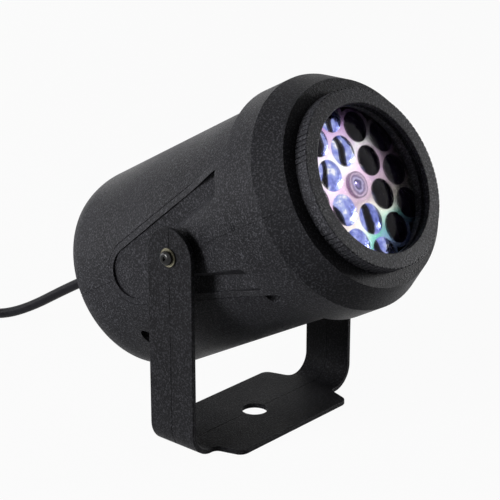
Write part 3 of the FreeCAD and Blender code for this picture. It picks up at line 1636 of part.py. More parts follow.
def gland_inner_end():
    """Where the gland's thread ends inside the head."""
    return -cap_face_place() + size("gland_thread_length")


def cap_face_place():
    """How far behind the pivot the cap's outer face lies at the gland."""
    return size("shell_rear_end") + size("seal_thickness") + size("cap_rim") + size("cap_dome")


# Rear cap, held by its groove between the shells, with its seal.
def make_rear_cap():
    rim_front = -size("shell_rear_end") - size("seal_thickness")
    rim_rear = rim_front - size("cap_rim")
    face = rim_rear - size("cap_dome")
    wall = size("cap_wall")
    lip_front = -size("shell_rear_end") + size("shell_rear_lip") + size("fit_gap")
    flange_front = lip_front + size("cap_flange_thickness")
    neck = size("shell_rear_radius") - size("shell_rear_lip_reach") - size("fit_gap")
    flange = neck + size("cap_flange_overlap")
    radius = size("cap_radius")
    face_radius = size("cap_face_radius")
    crown = size("cap_crown")
    p_rim = Vector(radius, 0, rim_rear)
    p_face = Vector(face_radius, 0, face)
    p_crown = Vector(0, 0, face - crown)
    edges = [
        tangent_arc(p_rim, Vector(0, 0, -1), p_face),
        line(p_face, p_crown),
        line(p_crown, Vector(0, 0, face + wall)),
        line(Vector(0, 0, face + wall), Vector(neck - wall, 0, face + wall)),
        line(Vector(neck - wall, 0, face + wall), Vector(neck - wall, 0, flange_front)),
        line(Vector(neck - wall, 0, flange_front), Vector(flange, 0, flange_front)),
        line(Vector(flange, 0, flange_front), Vector(flange, 0, lip_front)),
        line(Vector(flange, 0, lip_front), Vector(neck, 0, lip_front)),
        line(Vector(neck, 0, lip_front), Vector(neck, 0, rim_front)),
        line(Vector(neck, 0, rim_front), Vector(radius, 0, rim_front)),
        line(Vector(radius, 0, rim_front), p_rim),
    ]
    cap = Part.Face(Part.Wire(Part.__sortEdges__(edges))).revolve(ORIGIN, Z_AXIS, 360).Solids[0]
    hole = Part.makeCylinder(
        size("gland_body_diameter") / 2, 4 * OVERRUN,
        Vector(0, size("gland_rise"), face - 2 * OVERRUN),
    )
    seat = Part.makeCylinder(
        size("gland_flange_diameter") / 2 + size("fit_gap"), OVERRUN,
        Vector(0, size("gland_rise"), face - OVERRUN),
    )
    return solid(cap.cut(hole).cut(seat))


feature("rear_cap", make_rear_cap(), in_head=True)
seal_front = "-" + cell("shell_rear_end")
seal_back = "%s - %s" % (seal_front, cell("seal_thickness"))
seal_outer = "%s - %s" % (cell("cap_radius"), cell("fit_gap"))
turned(
    "rear_seal",
    ring_outline("%s - %s" % (seal_outer, cell("seal_width")), seal_outer, seal_back, seal_front),
)


def make_gland():
    """The strain relief: a flange on the cap, a threaded body through it and a tapered sleeve."""
    face = -cap_face_place()
    rise = size("gland_rise")
    flange_end = face - size("gland_flange_thickness")
    relief_end = flange_end - size("gland_relief_length")
    outline = [
        (0, gland_inner_end()),
        (size("gland_body_diameter") / 2, gland_inner_end()),
        (size("gland_body_diameter") / 2, face),
        (size("gland_flange_diameter") / 2, face),
        (size("gland_flange_diameter") / 2, flange_end),
        (size("gland_relief_start_diameter") / 2, flange_end),
        (size("gland_relief_end_diameter") / 2, relief_end),
        (0, relief_end),
    ]
    points = [Vector(r, 0, z) for r, z in outline]
    points.append(points[0])
    gland = Part.Face(Part.makePolygon(points)).revolve(ORIGIN, Z_AXIS, 360).Solids[0]
    gland.translate(Y_AXIS * rise)
    return gland


feature("cord_gland", make_gland(), in_head=True)


def make_gland_nut():
    base = Vector(0, size("gland_rise"), -cap_face_place() + size("cap_wall"))
    nut = hexagon(size("gland_nut_flats"), size("gland_nut_height"), base, Z_AXIS)
    hole = Part.makeCylinder(size("gland_body_diameter") / 2, size("gland_nut_height"), base)
    return nut.cut(hole).Solids[0]


feature("gland_nut", make_gland_nut(), in_head=True)
feature("power_lead", make_power_lead(), in_head=True)

# Cord outside the head. The points are the route's corners, chosen by hand.
cord_radius = size("cord_diameter") / 2
gland_end = HEAD.multVec(Vector(
    0,
    size("gland_rise"),
    -cap_face_place() - size("gland_flange_thickness") - size("gland_relief_length"),
))
CORD_ROUTE = [
    (0.0, 134.0, 36.4),
    (-1.0, 172.0, 13.2),
    (-4.0, 197.0, 3.6),
    (-7.2, 221.0, 2.8),
]
TAIL_ROUTE = [
    (-90.7, 224.0, 9.0),
    (-92.4, 206.0, 6.85),
    (-95.8, 190.0, 6.85),
]
ARC_SHARE = 0.45
# The coil climbs from its first layer to its second in half a turn.
HALF_CLIMB_TURNS = 0.25
COIL_STEPS_PER_TURN = 4
GAP_POINTS_PER_TURN = 72


def to_vectors(points):
    return [Vector(*point) for point in points]


def route_radii(points):
    """Each inner corner's arc: 0.45 of the shorter run over the tangent of half the turn."""
    radii = []
    for before, corner, after in zip(points, points[1:], points[2:]):
        arriving = corner - before
        leaving = after - corner
        shorter = min(arriving.Length, leaving.Length)
        turn = arriving.getAngle(leaving)
        radii.append(ARC_SHARE * shorter / math.tan(turn / 2))
    return radii


def coil_pitch():
    return size("cord_diameter") + size("coil_turn_gap")


def coil_point(turns):
    """The coil's centreline after a number of turns: in along the first layer, out along the second."""
    layer = size("coil_turns_per_layer")
    pitch = coil_pitch()
    radius = size("coil_outer_radius") - pitch * min(turns, 2 * layer - turns)
    climb = min(max((turns - layer + HALF_CLIMB_TURNS) / (2 * HALF_CLIMB_TURNS), 0), 1)
    smooth = climb * climb * (3 - 2 * climb)
    angle = 2 * math.pi * turns
    return Vector(
        size("coil_centre_side") + radius * math.cos(angle),
        size("coil_centre_back") + radius * math.sin(angle),
        cord_radius + pitch * smooth,
    )


def coil_direction(turns):
    """The centreline's direction there."""
    step = 1e-4
    return (coil_point(turns + step) - coil_point(turns - step)).normalize()


def biarc(start, start_way, end, end_way):
    """Two arcs that meet with one tangent between two points with given directions."""
    chord = end - start
    total = start_way + end_way
    a = 2 * (1 - start_way.dot(end_way))
    b = 2 * chord.dot(total)
    c = -chord.dot(chord)
    reach = (-b + math.sqrt(b * b - 4 * a * c)) / (2 * a) if abs(a) > 1e-9 else -c / b
    joint = (start + start_way * reach + end - end_way * reach) * 0.5
    return [tangent_arc(start, start_way, joint), tangent_arc(end, end_way * -1, joint)]


COIL_TURNS = 2 * size("coil_turns_per_layer")
coil_start = coil_point(0) - coil_direction(0) * size("cord_diameter")
coil_finish = coil_point(COIL_TURNS) + coil_direction(COIL_TURNS) * size("cord_diameter")


def coil_wire():
    """The coil as biarcs of a quarter turn, with a straight end as long as the cord is thick."""
    steps = round(COIL_TURNS * COIL_STEPS_PER_TURN)
    edges = [line(coil_start, coil_point(0))]
    for index in range(steps):
        low = COIL_TURNS * index / steps
        high = COIL_TURNS * (index + 1) / steps
        edges.extend(biarc(coil_point(low), coil_direction(low), coil_point(high), coil_direction(high)))
    edges.append(line(coil_point(COIL_TURNS), coil_finish))
    return Part.Wire(edges)


def make_cord_stretch(name, points):
    """A free stretch of the cord, with its radii, length and volume printed."""
    radii = route_radii(points)
    wire = tube_wire(points, radii)
    shape = tube(wire, cord_radius)
    expected = math.pi * cord_radius ** 2 * wire.Length
    print(name, "radii", [round(radius, 1) for radius in radii])
    print(name, "length %.1f, volume share %.4f" % (wire.Length, shape.Volume / expected))
    return shape


def make_cord_coil():
    wire = coil_wire()
    shape = tube(wire, cord_radius)
    expected = math.pi * cord_radius ** 2 * wire.Length
    print("cord_coil length %.1f, volume share %.4f" % (wire.Length, shape.Volume / expected))
    count = round(GAP_POINTS_PER_TURN * COIL_TURNS)
    points = [coil_point(COIL_TURNS * index / count) for index in range(count + 1)]
    least = min(
        (points[i] - points[j]).Length
        for i in range(len(points))
        for j in range(i + GAP_POINTS_PER_TURN // 2, len(points))
    )
    print("cord_coil least gap to itself %.2f" % (least - 2 * cord_radius))
    return shape


feature("cord_lead", make_cord_stretch("cord_lead", [gland_end] + to_vectors(CORD_ROUTE) + [coil_start]))
feature("cord_coil", make_cord_coil())
feature("cord_tail", make_cord_stretch("cord_tail", [coil_finish] + to_vectors(TAIL_ROUTE)))


# Plug, drawn along +x and turned to the tail's last run.
def plug_place():
    before, last = to_vectors(TAIL_ROUTE[-2:])
    heading = math.degrees(math.atan2(last.y - before.y, last.x - before.x))
    return Placement(last, Rotation(Z_AXIS, heading))


def make_plug_body():
    relief = size("plug_relief_length")
    height = size("plug_height")
    shoulder = relief + size("plug_shoulder_length")
    end = relief + size("plug_length")
    corner = size("plug_corner_radius")
    corners = [
        (Vector(relief, size("plug_neck_width") / 2, -height / 2), corner),
        (Vector(shoulder, size("plug_width") / 2, -height / 2), corner),
        (Vector(end, size("plug_width") / 2, -height / 2), corner / 2),
    ]
    below = [(Vector(point.x, -point.y, point.z), radius) for point, radius in reversed(corners)]
    body = prism(rounded_outline(corners + below), Z_AXIS * height)
    flat_edges = [edge for edge in body.Edges if edge.BoundBox.ZLength < size("plug_edge_round") / 10]
    body = body.makeFillet(size("plug_edge_round"), flat_edges)
    sleeve = Part.makeCone(
        size("plug_relief_diameter") / 2,
        size("plug_relief_diameter") / 2 + size("cord_diameter") / 4,
        relief + corner,
        ORIGIN,
        X_AXIS,
    )
    body = body.fuse(sleeve)
    tails = [pin_tail(sign) for sign in LEFT_AND_RIGHT]
    return solid(body.cut(Part.makeCompound(tails)))


def pin_tail(sign):
    """The narrow end of a pin that is moulded into the plug."""
    length = size("plug_tail_length")
    face = size("plug_relief_length") + size("plug_length")
    base = Vector(face - length, sign * size("plug_pin_pitch") / 2, 0)
    return Part.makeCylinder(size("plug_tail_diameter") / 2, length, base, X_AXIS)


def make_plug_pins():
    radius = size("plug_pin_diameter") / 2
    length = size("plug_pin_length")
    face = size("plug_relief_length") + size("plug_length")
    pins = []
    for sign in LEFT_AND_RIGHT:
        base = Vector(face, sign * size("plug_pin_pitch") / 2, 0)
        pin = Part.makeCylinder(radius, length, base, X_AXIS)
        tip = [edge for edge in pin.Edges if edge.Closed and edge.CenterOfMass.x > face + length / 2]
        pins.append(solid(pin.makeFillet(radius / 2, tip).fuse(pin_tail(sign))))
    return Part.makeCompound(pins)


for plug_label, plug_shape in (("plug_body", make_plug_body()), ("plug_pins", make_plug_pins())):
    plug_shape.Placement = plug_place().multiply(plug_shape.Placement)
    feature(plug_label, plug_shape)
pin_root = plug_place().multVec(X_AXIS * (size("plug_relief_length") + size("plug_length")))
print("plug face centre", [round(value, 3) for value in pin_root])

document.recompute()


def check_and_export():
    os.makedirs(OUTPUT, exist_ok=True)
    for item in document.Objects:
        if "Invalid" in item.State or "Error" in item.State:
            raise ValueError("%s is in state %s" % (item.Label, item.State))
    for item in SUBPARTS:
        if item.Shape.isNull() or not item.Shape.isValid():
            raise ValueError("%s has no valid shape" % item.Label)
    for item in SUBPARTS:
        item.Shape.exportStep(os.path.join(OUTPUT, item.Label + ".step"))
        print(item.Label, "solids", len(item.Shape.Solids), "volume %.1f" % item.Shape.Volume)


check_and_export()
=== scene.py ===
"""Looks of the projector light: finishes, cord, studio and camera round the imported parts."""
import json
import math

import bpy
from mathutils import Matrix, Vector


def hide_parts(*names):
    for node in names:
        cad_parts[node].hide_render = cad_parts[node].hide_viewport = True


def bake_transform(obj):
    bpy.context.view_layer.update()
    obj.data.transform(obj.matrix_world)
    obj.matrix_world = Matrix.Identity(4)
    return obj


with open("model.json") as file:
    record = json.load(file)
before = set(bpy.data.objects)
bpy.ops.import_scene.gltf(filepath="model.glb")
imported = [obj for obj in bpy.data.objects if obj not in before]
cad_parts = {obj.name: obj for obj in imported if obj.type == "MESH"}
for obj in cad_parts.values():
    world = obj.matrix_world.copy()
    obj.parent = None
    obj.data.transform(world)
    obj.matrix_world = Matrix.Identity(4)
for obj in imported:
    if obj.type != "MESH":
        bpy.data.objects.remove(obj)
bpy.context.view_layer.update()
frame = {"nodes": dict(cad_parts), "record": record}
NODES = frame["nodes"]
MM = 0.001

# Camera, at the photograph's viewing angle
CAMERA_TARGET = Vector((-3.57, 0, 88.5)) * MM
CAMERA_SIDE_ANGLE = math.radians(48.56)
CAMERA_RISE_ANGLE = math.radians(19.01)
CAMERA_DISTANCE = 770.8 * MM
CAMERA_LENS_MM = 113.85
SENSOR_WIDTH_MM = 36.0

# The wheel's face: its middle is on the head's axis, which passes through the pivot line
PIVOT = Vector((0, 0, 99.5)) * MM
TILT = math.radians(28.5)
SIDE_WAY = Vector((1, 0, 0))
UP_WAY = Vector((0, math.sin(TILT), math.cos(TILT)))

# Cord: the route's corners from the gland to the coil, and from the coil to the plug
CORD_DIAMETER = 5.6 * MM
CORD_EXIT = Vector((0, 97.40, 56.31)) * MM
CORD_ROUTE = [
    (0.0, 134.0, 36.4),
    (-1.0, 172.0, 13.2),
    (-4.0, 197.0, 3.6),
    (-7.2, 221.0, 2.8),
]
TAIL_ROUTE = [
    (-90.7, 224.0, 9.0),
    (-92.4, 206.0, 6.85),
    (-95.8, 190.0, 6.85),
]
COIL_CENTRE = Vector((-49, 246, 0)) * MM
COIL_RADIUS = 41.2 * MM
COIL_PITCH = 6.2 * MM
COIL_LAYER_TURNS = 3.25
COIL_HALF_CLIMB_TURNS = 0.25
COIL_POINTS_PER_TURN = 16
CORD_STEPS_PER_POINT = 6
CORD_SIDES = 14


# Camera
def make_camera():
    data = bpy.data.cameras.new("camera")
    data.lens = CAMERA_LENS_MM
    data.sensor_width = SENSOR_WIDTH_MM
    camera = bpy.data.objects.new("camera", data)
    bpy.context.scene.collection.objects.link(camera)
    level = math.cos(CAMERA_RISE_ANGLE)
    back = Vector((
        -math.sin(CAMERA_SIDE_ANGLE) * level,
        -math.cos(CAMERA_SIDE_ANGLE) * level,
        math.sin(CAMERA_RISE_ANGLE),
    ))
    camera.location = CAMERA_TARGET + back * CAMERA_DISTANCE
    camera.rotation_mode = "QUATERNION"
    camera.rotation_quaternion = (-back).to_track_quat("-Z", "Y")
    bpy.context.scene.camera = camera


# Cord
def coil_point(turns):
    """The coil's centreline after some turns: in along the first layer, out along the second."""
    out_turns = 2 * COIL_LAYER_TURNS - turns
    radius = COIL_RADIUS - COIL_PITCH * min(turns, out_turns)
    climb = (turns - COIL_LAYER_TURNS + COIL_HALF_CLIMB_TURNS) / (2 * COIL_HALF_CLIMB_TURNS)
    climb = min(max(climb, 0), 1)
    smooth = climb * climb * (3 - 2 * climb)
    # A quadratic spline runs inside the circle that its control points lie on.
    radius /= 0.75 + 0.25 * math.cos(2 * math.pi / COIL_POINTS_PER_TURN)
    angle = 2 * math.pi * turns
    height = CORD_DIAMETER / 2 + COIL_PITCH * smooth
    return COIL_CENTRE + Vector((radius * math.cos(angle), radius * math.sin(angle), height))


def cord_points():
    count = round(2 * COIL_LAYER_TURNS * COIL_POINTS_PER_TURN)
    lead = [Vector(point) * MM for point in CORD_ROUTE]
    coil = [coil_point(index / COIL_POINTS_PER_TURN) for index in range(count + 1)]
    tail = [Vector(point) * MM for point in TAIL_ROUTE]
    return [CORD_EXIT] + lead + coil + tail


def spline_line(points):
    """The points of the smooth spline that has these control points."""
    curve = bpy.data.curves.new("cord_route", "CURVE")
    curve.dimensions = "3D"
    curve.resolution_u = CORD_STEPS_PER_POINT
    spline = curve.splines.new("NURBS")
    spline.points.add(len(points) - 1)
    for control, point in zip(spline.points, points):
        control.co = (*point, 1)
    spline.order_u = 3
    spline.use_endpoint_u = True
    holder = bpy.data.objects.new("cord_route", curve)
    mesh = bpy.data.meshes.new_from_object(holder)
    line = [vertex.co.copy() for vertex in mesh.vertices]
    bpy.data.meshes.remove(mesh)
    bpy.data.curves.remove(curve)
    return line


def tube_mesh(name, line, radius, sides):
    """A round tube along a line, closed at both ends."""
    vertices = []
    across = Vector((1, 0, 0))
    last = len(line) - 1
    for index, point in enumerate(line):
        along = (line[min(index + 1, last)] - line[max(index - 1, 0)]).normalized()
        across = (across - along * across.dot(along)).normalized()
        other = along.cross(across)
        for side in range(sides):
            angle = 2 * math.pi * side / sides
            vertices.append(point + (across * math.cos(angle) + other * math.sin(angle)) * radius)
    faces = [tuple(reversed(range(sides)))]
    for ring in range(last):
        low = ring * sides
        high = low + sides
        for side in range(sides):
            after = (side + 1) % sides
            faces.append((low + side, low + after, high + after, high + side))
    faces.append(tuple(range(last * sides, (last + 1) * sides)))
    mesh = bpy.data.meshes.new(name)
    mesh.from_pydata(vertices, [], faces)
    mesh.polygons.foreach_set("use_smooth", [True] * len(mesh.polygons))
    return mesh


def make_cord():
    line = spline_line(cord_points())
    mesh = tube_mesh("power_cord", line, CORD_DIAMETER / 2, CORD_SIDES)
    cord = bpy.data.objects.new("power_cord", mesh)
    bpy.context.scene.collection.objects.link(cord)
    mesh.materials.append(finish("cord_sheath"))
    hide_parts("cord_lead", "cord_coil", "cord_tail")
    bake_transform(cord)


# Node helpers
# Inputs and output of a colour mix node
MIX_SHARE, MIX_FIRST, MIX_SECOND, MIX_RESULT = 0, 6, 7, 2


def put(tree, socket, value):
    """Feed an input: from another node's output, or with a plain value."""
    if isinstance(value, bpy.types.NodeSocket):
        tree.links.new(value, socket)
    else:
        socket.default_value = value


def put_all(tree, node, sockets):
    """Feed a node's inputs by name, with _ for each space."""
    for name, value in sockets.items():
        put(tree, node.inputs[name.replace("_", " ")], value)


def new_node(tree, kind, settings=None, **sockets):
    node = tree.nodes.new(kind)
    for name, value in (settings or {}).items():
        setattr(node, name, value)
    put_all(tree, node, sockets)
    return node


def new_material(name, **sockets):
    """A material with one Principled shader, and where its texture is placed."""
    material = bpy.data.materials.new(name)
    material.use_nodes = True
    tree = material.node_tree
    shader = tree.nodes["Principled BSDF"]
    put_all(tree, shader, sockets)
    place = new_node(tree, "ShaderNodeTexCoord").outputs["Object"]
    return material, tree, shader, place


def noise(tree, place, size, detail=2.0, roughness=0.5):
    """Noise whose features are about that size, in metres."""
    node = new_node(
        tree, "ShaderNodeTexNoise",
        Vector=place, Scale=1 / size, Detail=detail, Roughness=roughness,
    )
    return node.outputs["Fac"]


def bands(tree, place, direction, **sockets):
    settings = {"wave_type": "BANDS", "bands_direction": direction}
    return new_node(tree, "ShaderNodeTexWave", settings, Vector=place, **sockets).outputs["Fac"]


def spread(tree, value, low, high, start=0.35, end=0.65):
    """The value's range from start to end, taken to low to high."""
    node = new_node(
        tree, "ShaderNodeMapRange",
        Value=value, From_Min=start, From_Max=end, To_Min=low, To_Max=high,
    )
    return node.outputs["Result"]


def ramp(tree, value, stops):
    """A colour ramp through (place, colour) stops."""
    node = new_node(tree, "ShaderNodeValToRGB", Fac=value)
    elements = node.color_ramp.elements
    while len(elements) < len(stops):
        elements.new(0.5)
    for element, (place, colour) in zip(elements, stops):
        element.position = place
        element.color = (*colour, 1)
    return node.outputs["Color"]


def bump(tree, height, depth, strength=1.0):
    node = new_node(tree, "ShaderNodeBump", Height=height, Distance=depth, Strength=strength)
    return node.outputs["Normal"]


def math_node(tree, operation, first, second):
    node = new_node(tree, "ShaderNodeMath", {"operation": operation})
    put(tree, node.inputs[0], first)
    put(tree, node.inputs[1], second)
    return node.outputs["Value"]


def dot(tree, place, way):
    """How far a place lies along a direction, from the origin."""
    node = new_node(tree, "ShaderNodeVectorMath", {"operation": "DOT_PRODUCT"})
    put(tree, node.inputs[0], place)
    put(tree, node.inputs[1], way)
    return node.outputs["Value"]


def blended(tree, share, first, second):
    """A mix of two colours, given as tuples or as sockets."""
    node = new_node(tree, "ShaderNodeMix", {"data_type": "RGBA"})
    put(tree, node.inputs[MIX_SHARE], share)
    for index, colour in ((MIX_FIRST, first), (MIX_SECOND, second)):
        put(tree, node.inputs[index], (*colour, 1) if isinstance(colour, tuple) else colour)
    return node.outputs[MIX_RESULT]


def tinted(colour, share):
    return tuple(min(channel * share, 1) for channel in colour)


def mottled(tree, cloud, dull, bright):
    """Between two colours, patch by patch."""
    return ramp(tree, spread(tree, cloud, 0, 1), [(0, dull), (1, bright)])


# Finishes
CHARCOAL = (0.019, 0.019, 0.0215)
SOOT = (0.010, 0.010, 0.012)
WHITE = (1, 1, 1)
BLACK = (0, 0, 0)

GRAIN = 0.85 * MM
GRAIN_DEPTH = 0.30 * MM
GRAINS_PER_PATCH = 30
# Painted glints: where the grain's peaks start to be painted lighter, and how much lighter
GRAIN_GLINT_LEVELS = (0.50, 0.66)
GRAIN_GLINT_SHARE = 3.0
PLASTIC_SHARES = (0.72, 0.98)
PLASTIC_SPECULAR = 0.035

RUBBER_SHARES = (0.8, 1.3)
RUBBER_PATCH = 9 * MM
RUBBER_GRAIN = 0.5 * MM
RUBBER_SPECULAR = 0.05

METAL_SHARES = (0.8, 1.15)
METAL_PATCH = 4 * MM
TOOL_MARK = 1.2 * MM
TOOL_MARK_STRETCH = (1, 8, 1)

ACRYLIC_IOR = 1.49
ACRYLIC_PATCH = 12 * MM

# The window's coating leaves so little reflection that its index is written down low.
WINDOW_IOR = 1.06
WINDOW_TINT = (0.8, 0.7, 1.0)
WINDOW_ALPHA = 0.1
WINDOW_PATCH = 18 * MM
WINDOW_COLOURS = ((0.95, 0.95, 0.97), (0.99, 0.99, 1.0))


def moulded_plastic(name, colour, roughness, grain=GRAIN, depth=GRAIN_DEPTH):
    """Spark-eroded plastic: fine grain, faint mottling and painted glints that make the grain's
    peaks lighter.
    """
    material, tree, shader, place = new_material(name, Specular_IOR_Level=PLASTIC_SPECULAR)
    fine = noise(tree, place, grain, 3.0, 0.6)
    coarse = noise(tree, place, GRAINS_PER_PATCH * grain)
    body = mottled(tree, coarse, *(tinted(colour, share) for share in PLASTIC_SHARES))
    # Painted glints: the grain's peaks are painted lighter, standing in for light glinting off
    # them.
    painted_glints = ramp(tree, fine, list(zip(GRAIN_GLINT_LEVELS, (BLACK, WHITE))))
    put_all(tree, shader, {
        "Base_Color": blended(tree, painted_glints, body, tinted(colour, GRAIN_GLINT_SHARE)),
        "Roughness": spread(tree, coarse, roughness - 0.04, roughness + 0.04),
        "Normal": bump(tree, fine, depth),
    })
    return material


def painted(name, colour, roughness):
    """Smooth coloured plastic or tape with slight unevenness."""
    return moulded_plastic(name, colour, roughness, grain=1.6 * MM, depth=0.03 * MM)


def soft_rubber(name, colour, roughness):
    """Matt rubber or soft vinyl, a little dusty."""
    material, tree, shader, place = new_material(name, Specular_IOR_Level=RUBBER_SPECULAR)
    cloud = noise(tree, place, RUBBER_PATCH, 3.0, 0.6)
    fine = noise(tree, place, RUBBER_GRAIN)
    put_all(tree, shader, {
        "Base_Color": mottled(tree, cloud, *(tinted(colour, share) for share in RUBBER_SHARES)),
        "Roughness": spread(tree, cloud, roughness - 0.06, roughness + 0.06),
        "Normal": bump(tree, fine, 0.03 * MM),
    })
    return material


def plain_metal(name, colour, roughness):
    """Plated or turned metal with fine tool marks."""
    material, tree, shader, place = new_material(name, Metallic=1.0)
    cloud = noise(tree, place, METAL_PATCH, 3.0, 0.6)
    stretched = new_node(tree, "ShaderNodeMapping", Vector=place, Scale=TOOL_MARK_STRETCH)
    marks = noise(tree, stretched.outputs["Vector"], TOOL_MARK)
    put_all(tree, shader, {
        "Base_Color": mottled(tree, cloud, *(tinted(colour, share) for share in METAL_SHARES)),
        "Roughness": spread(tree, cloud, roughness - 0.05, roughness + 0.08),
        "Normal": bump(tree, marks, 0.02 * MM),
    })
    return material


def clear_plastic(name, colour, roughness):
    """Clear acrylic with a faint uneven surface."""
    material, tree, shader, place = new_material(name, Transmission_Weight=1.0, IOR=ACRYLIC_IOR)
    cloud = noise(tree, place, ACRYLIC_PATCH)
    put_all(tree, shader, {
        "Base_Color": mottled(tree, cloud, tinted(colour, 0.96), colour),
        "Roughness": spread(tree, cloud, roughness, roughness + 0.02),
        "Normal": bump(tree, cloud, 0.05 * MM),
    })
    return material


def coated_window(name):
    """Clear window whose anti-reflective coating leaves only a trace of violet."""
    material, tree, shader, place = new_material(
        name,
        Transmission_Weight=1.0,
        IOR=WINDOW_IOR,
        Roughness=0.0,
        Specular_Tint=(*WINDOW_TINT, 1),
        Alpha=WINDOW_ALPHA,
    )
    cloud = noise(tree, place, WINDOW_PATCH)
    put_all(tree, shader, {"Base_Color": mottled(tree, cloud, *WINDOW_COLOURS)})
    return material


def circuit_board(name, colour):
    """Solder mask over tracks: slightly raised lines in a second shade."""
    material, tree, shader, place = new_material(name, Roughness=0.35)
    waves = bands(tree, place, "DIAGONAL", Scale=120.0, Distortion=6.0, Detail=1.0)
    put_all(tree, shader, {
        "Base_Color": ramp(tree, waves, [(0.45, tinted(colour, 0.7)), (0.55, colour)]),
        "Normal": bump(tree, waves, 0.04 * MM),
    })
    return material


def film_slide(name):
    """Dark film with a net of clear lines."""
    material, tree, shader, place = new_material(name, Roughness=0.25, Transmission_Weight=0.3)
    settings = {"feature": "DISTANCE_TO_EDGE"}
    cells = new_node(tree, "ShaderNodeTexVoronoi", settings, Vector=place, Scale=140.0)
    lines = [(0.05, (0.75, 0.85, 1.0)), (0.12, (0.02, 0.02, 0.04))]
    put_all(tree, shader, {"Base_Color": ramp(tree, cells.outputs["Distance"], lines)})
    return material


# The wheel's face
# Plating from the face's low edge to its high one, along a line that leans to the left
PLATING_SPAN = (-36 * MM, 34 * MM)
PLATING_LEAN = 0.25
PLATING_WARP_SIZE = 16 * MM
PLATING_WARP_REACH = 14 * MM
PLATING_STOPS = [
    (0.03, (0.38, 0.52, 0.90)),
    (0.12, (0.20, 0.62, 0.55)),
    (0.22, (0.80, 0.96, 0.84)),
    (0.30, (0.86, 0.82, 0.74)),
    (0.40, (0.52, 0.40, 0.48)),
    (0.52, (0.80, 0.58, 0.76)),
    (0.62, (0.96, 0.72, 0.94)),
    (0.72, (0.97, 0.96, 0.97)),
    (0.82, (0.80, 0.62, 0.84)),
    (0.94, (0.56, 0.34, 0.66)),
]
PLATING_ROUGHNESS = 0.27
PLATING_RIPPLE = 9 * MM
PLATING_RIPPLE_DEPTH = 0.30 * MM
STREAK_SIZE = 7 * MM
STREAK_SHARE = 0.3
STREAK_COLOUR = (0.50, 0.34, 0.62)
# Painted shade: the plating is darkened towards the upper right, where the ring's hood shades the
# plate.
SHADE_SIDE_SHARE = 0.9
SHADE_RISE_SHARE = 0.45
PAINTED_SHADE_SPAN = (31 * MM, 43 * MM)
PAINTED_SHADE_COLOUR = (0.012, 0.008, 0.018)

LENS_SPECULAR = 0.14
LENS_ROUGHNESS = 0.04
LENS_COLOUR = (0.006, 0.004, 0.012)
LENS_RIPPLE = 6 * MM
LENS_RIPPLE_DEPTH = 0.25 * MM
# Painted reflections on the lenses: the edges of their broken patches, where they fade to painted
# shade towards +X, and their colours
REFLECTION_PATCH_LEVELS = (0.30, 0.38)
PAINTED_SHADE_FADE_SPAN = (5 * MM, 9 * MM)
PAINTED_REFLECTION_STOPS = [
    (0.0, (0.10, 0.13, 0.42)),
    (0.45, (0.26, 0.30, 0.74)),
    (0.85, (0.46, 0.52, 0.86)),
    (1.0, (0.9, 0.9, 0.97)),
]

BUTTON_SPAN = (0.6 * MM, 7.6 * MM)
BUTTON_WOBBLE_SIZE = 3 * MM
BUTTON_WOBBLE_REACH = 2.4 * MM
BUTTON_RING_DEPTH = 0.5 * MM
# Painted reflections: lavender and dark rings round the button's dark eye
BUTTON_REFLECTION_STOPS = [
    (0.05, (0.10, 0.08, 0.16)),
    (0.22, (0.36, 0.30, 0.62)),
    (0.36, (0.10, 0.08, 0.22)),
    (0.50, (0.62, 0.56, 0.82)),
    (0.66, (0.24, 0.17, 0.34)),
    (0.82, (0.70, 0.55, 0.72)),
    (0.96, (0.30, 0.22, 0.34)),
]


def face_place(tree, place):
    """How far right and how far up the wheel's face a place lies, from the face's middle."""
    level = math_node(tree, "SUBTRACT", dot(tree, place, UP_WAY), PIVOT.dot(UP_WAY))
    return dot(tree, place, SIDE_WAY), level


def rainbow_mirror(name):
    """Vacuum-plated wheel: pearly pink that turns white, tan and teal, with painted shade at the
    upper right.
    """
    material, tree, shader, place = new_material(
        name, Metallic=1.0, Roughness=PLATING_ROUGHNESS,
    )
    aside, level = face_place(tree, place)
    warp = noise(tree, place, PLATING_WARP_SIZE, 1.0, 0.4)
    centred = math_node(tree, "SUBTRACT", warp, 0.5)
    shift = math_node(tree, "MULTIPLY", centred, PLATING_WARP_REACH)

    leaning = math_node(tree, "MULTIPLY", aside, PLATING_LEAN)
    along = math_node(tree, "ADD", math_node(tree, "SUBTRACT", level, leaning), shift)
    shade = ramp(tree, spread(tree, along, 0, 1, *PLATING_SPAN), PLATING_STOPS)
    streak = spread(tree, noise(tree, place, STREAK_SIZE, 1.0, 0.4), 0.0, STREAK_SHARE, 0.5, 0.75)
    shade = blended(tree, streak, shade, STREAK_COLOUR)

    # Painted shade: darker towards the upper right, where the ring's hood shades the plate.
    side_reach = math_node(tree, "MULTIPLY", aside, SHADE_SIDE_SHARE)
    rise_reach = math_node(tree, "MULTIPLY", level, SHADE_RISE_SHARE)
    reach = math_node(tree, "ADD", math_node(tree, "ADD", side_reach, rise_reach), shift)
    painted_shade = spread(tree, reach, 0.0, 1.0, *PAINTED_SHADE_SPAN)
    put_all(tree, shader, {
        "Base_Color": blended(tree, painted_shade, shade, PAINTED_SHADE_COLOUR),
        "Normal": bump(tree, noise(tree, place, PLATING_RIPPLE), PLATING_RIPPLE_DEPTH),
    })
    return material


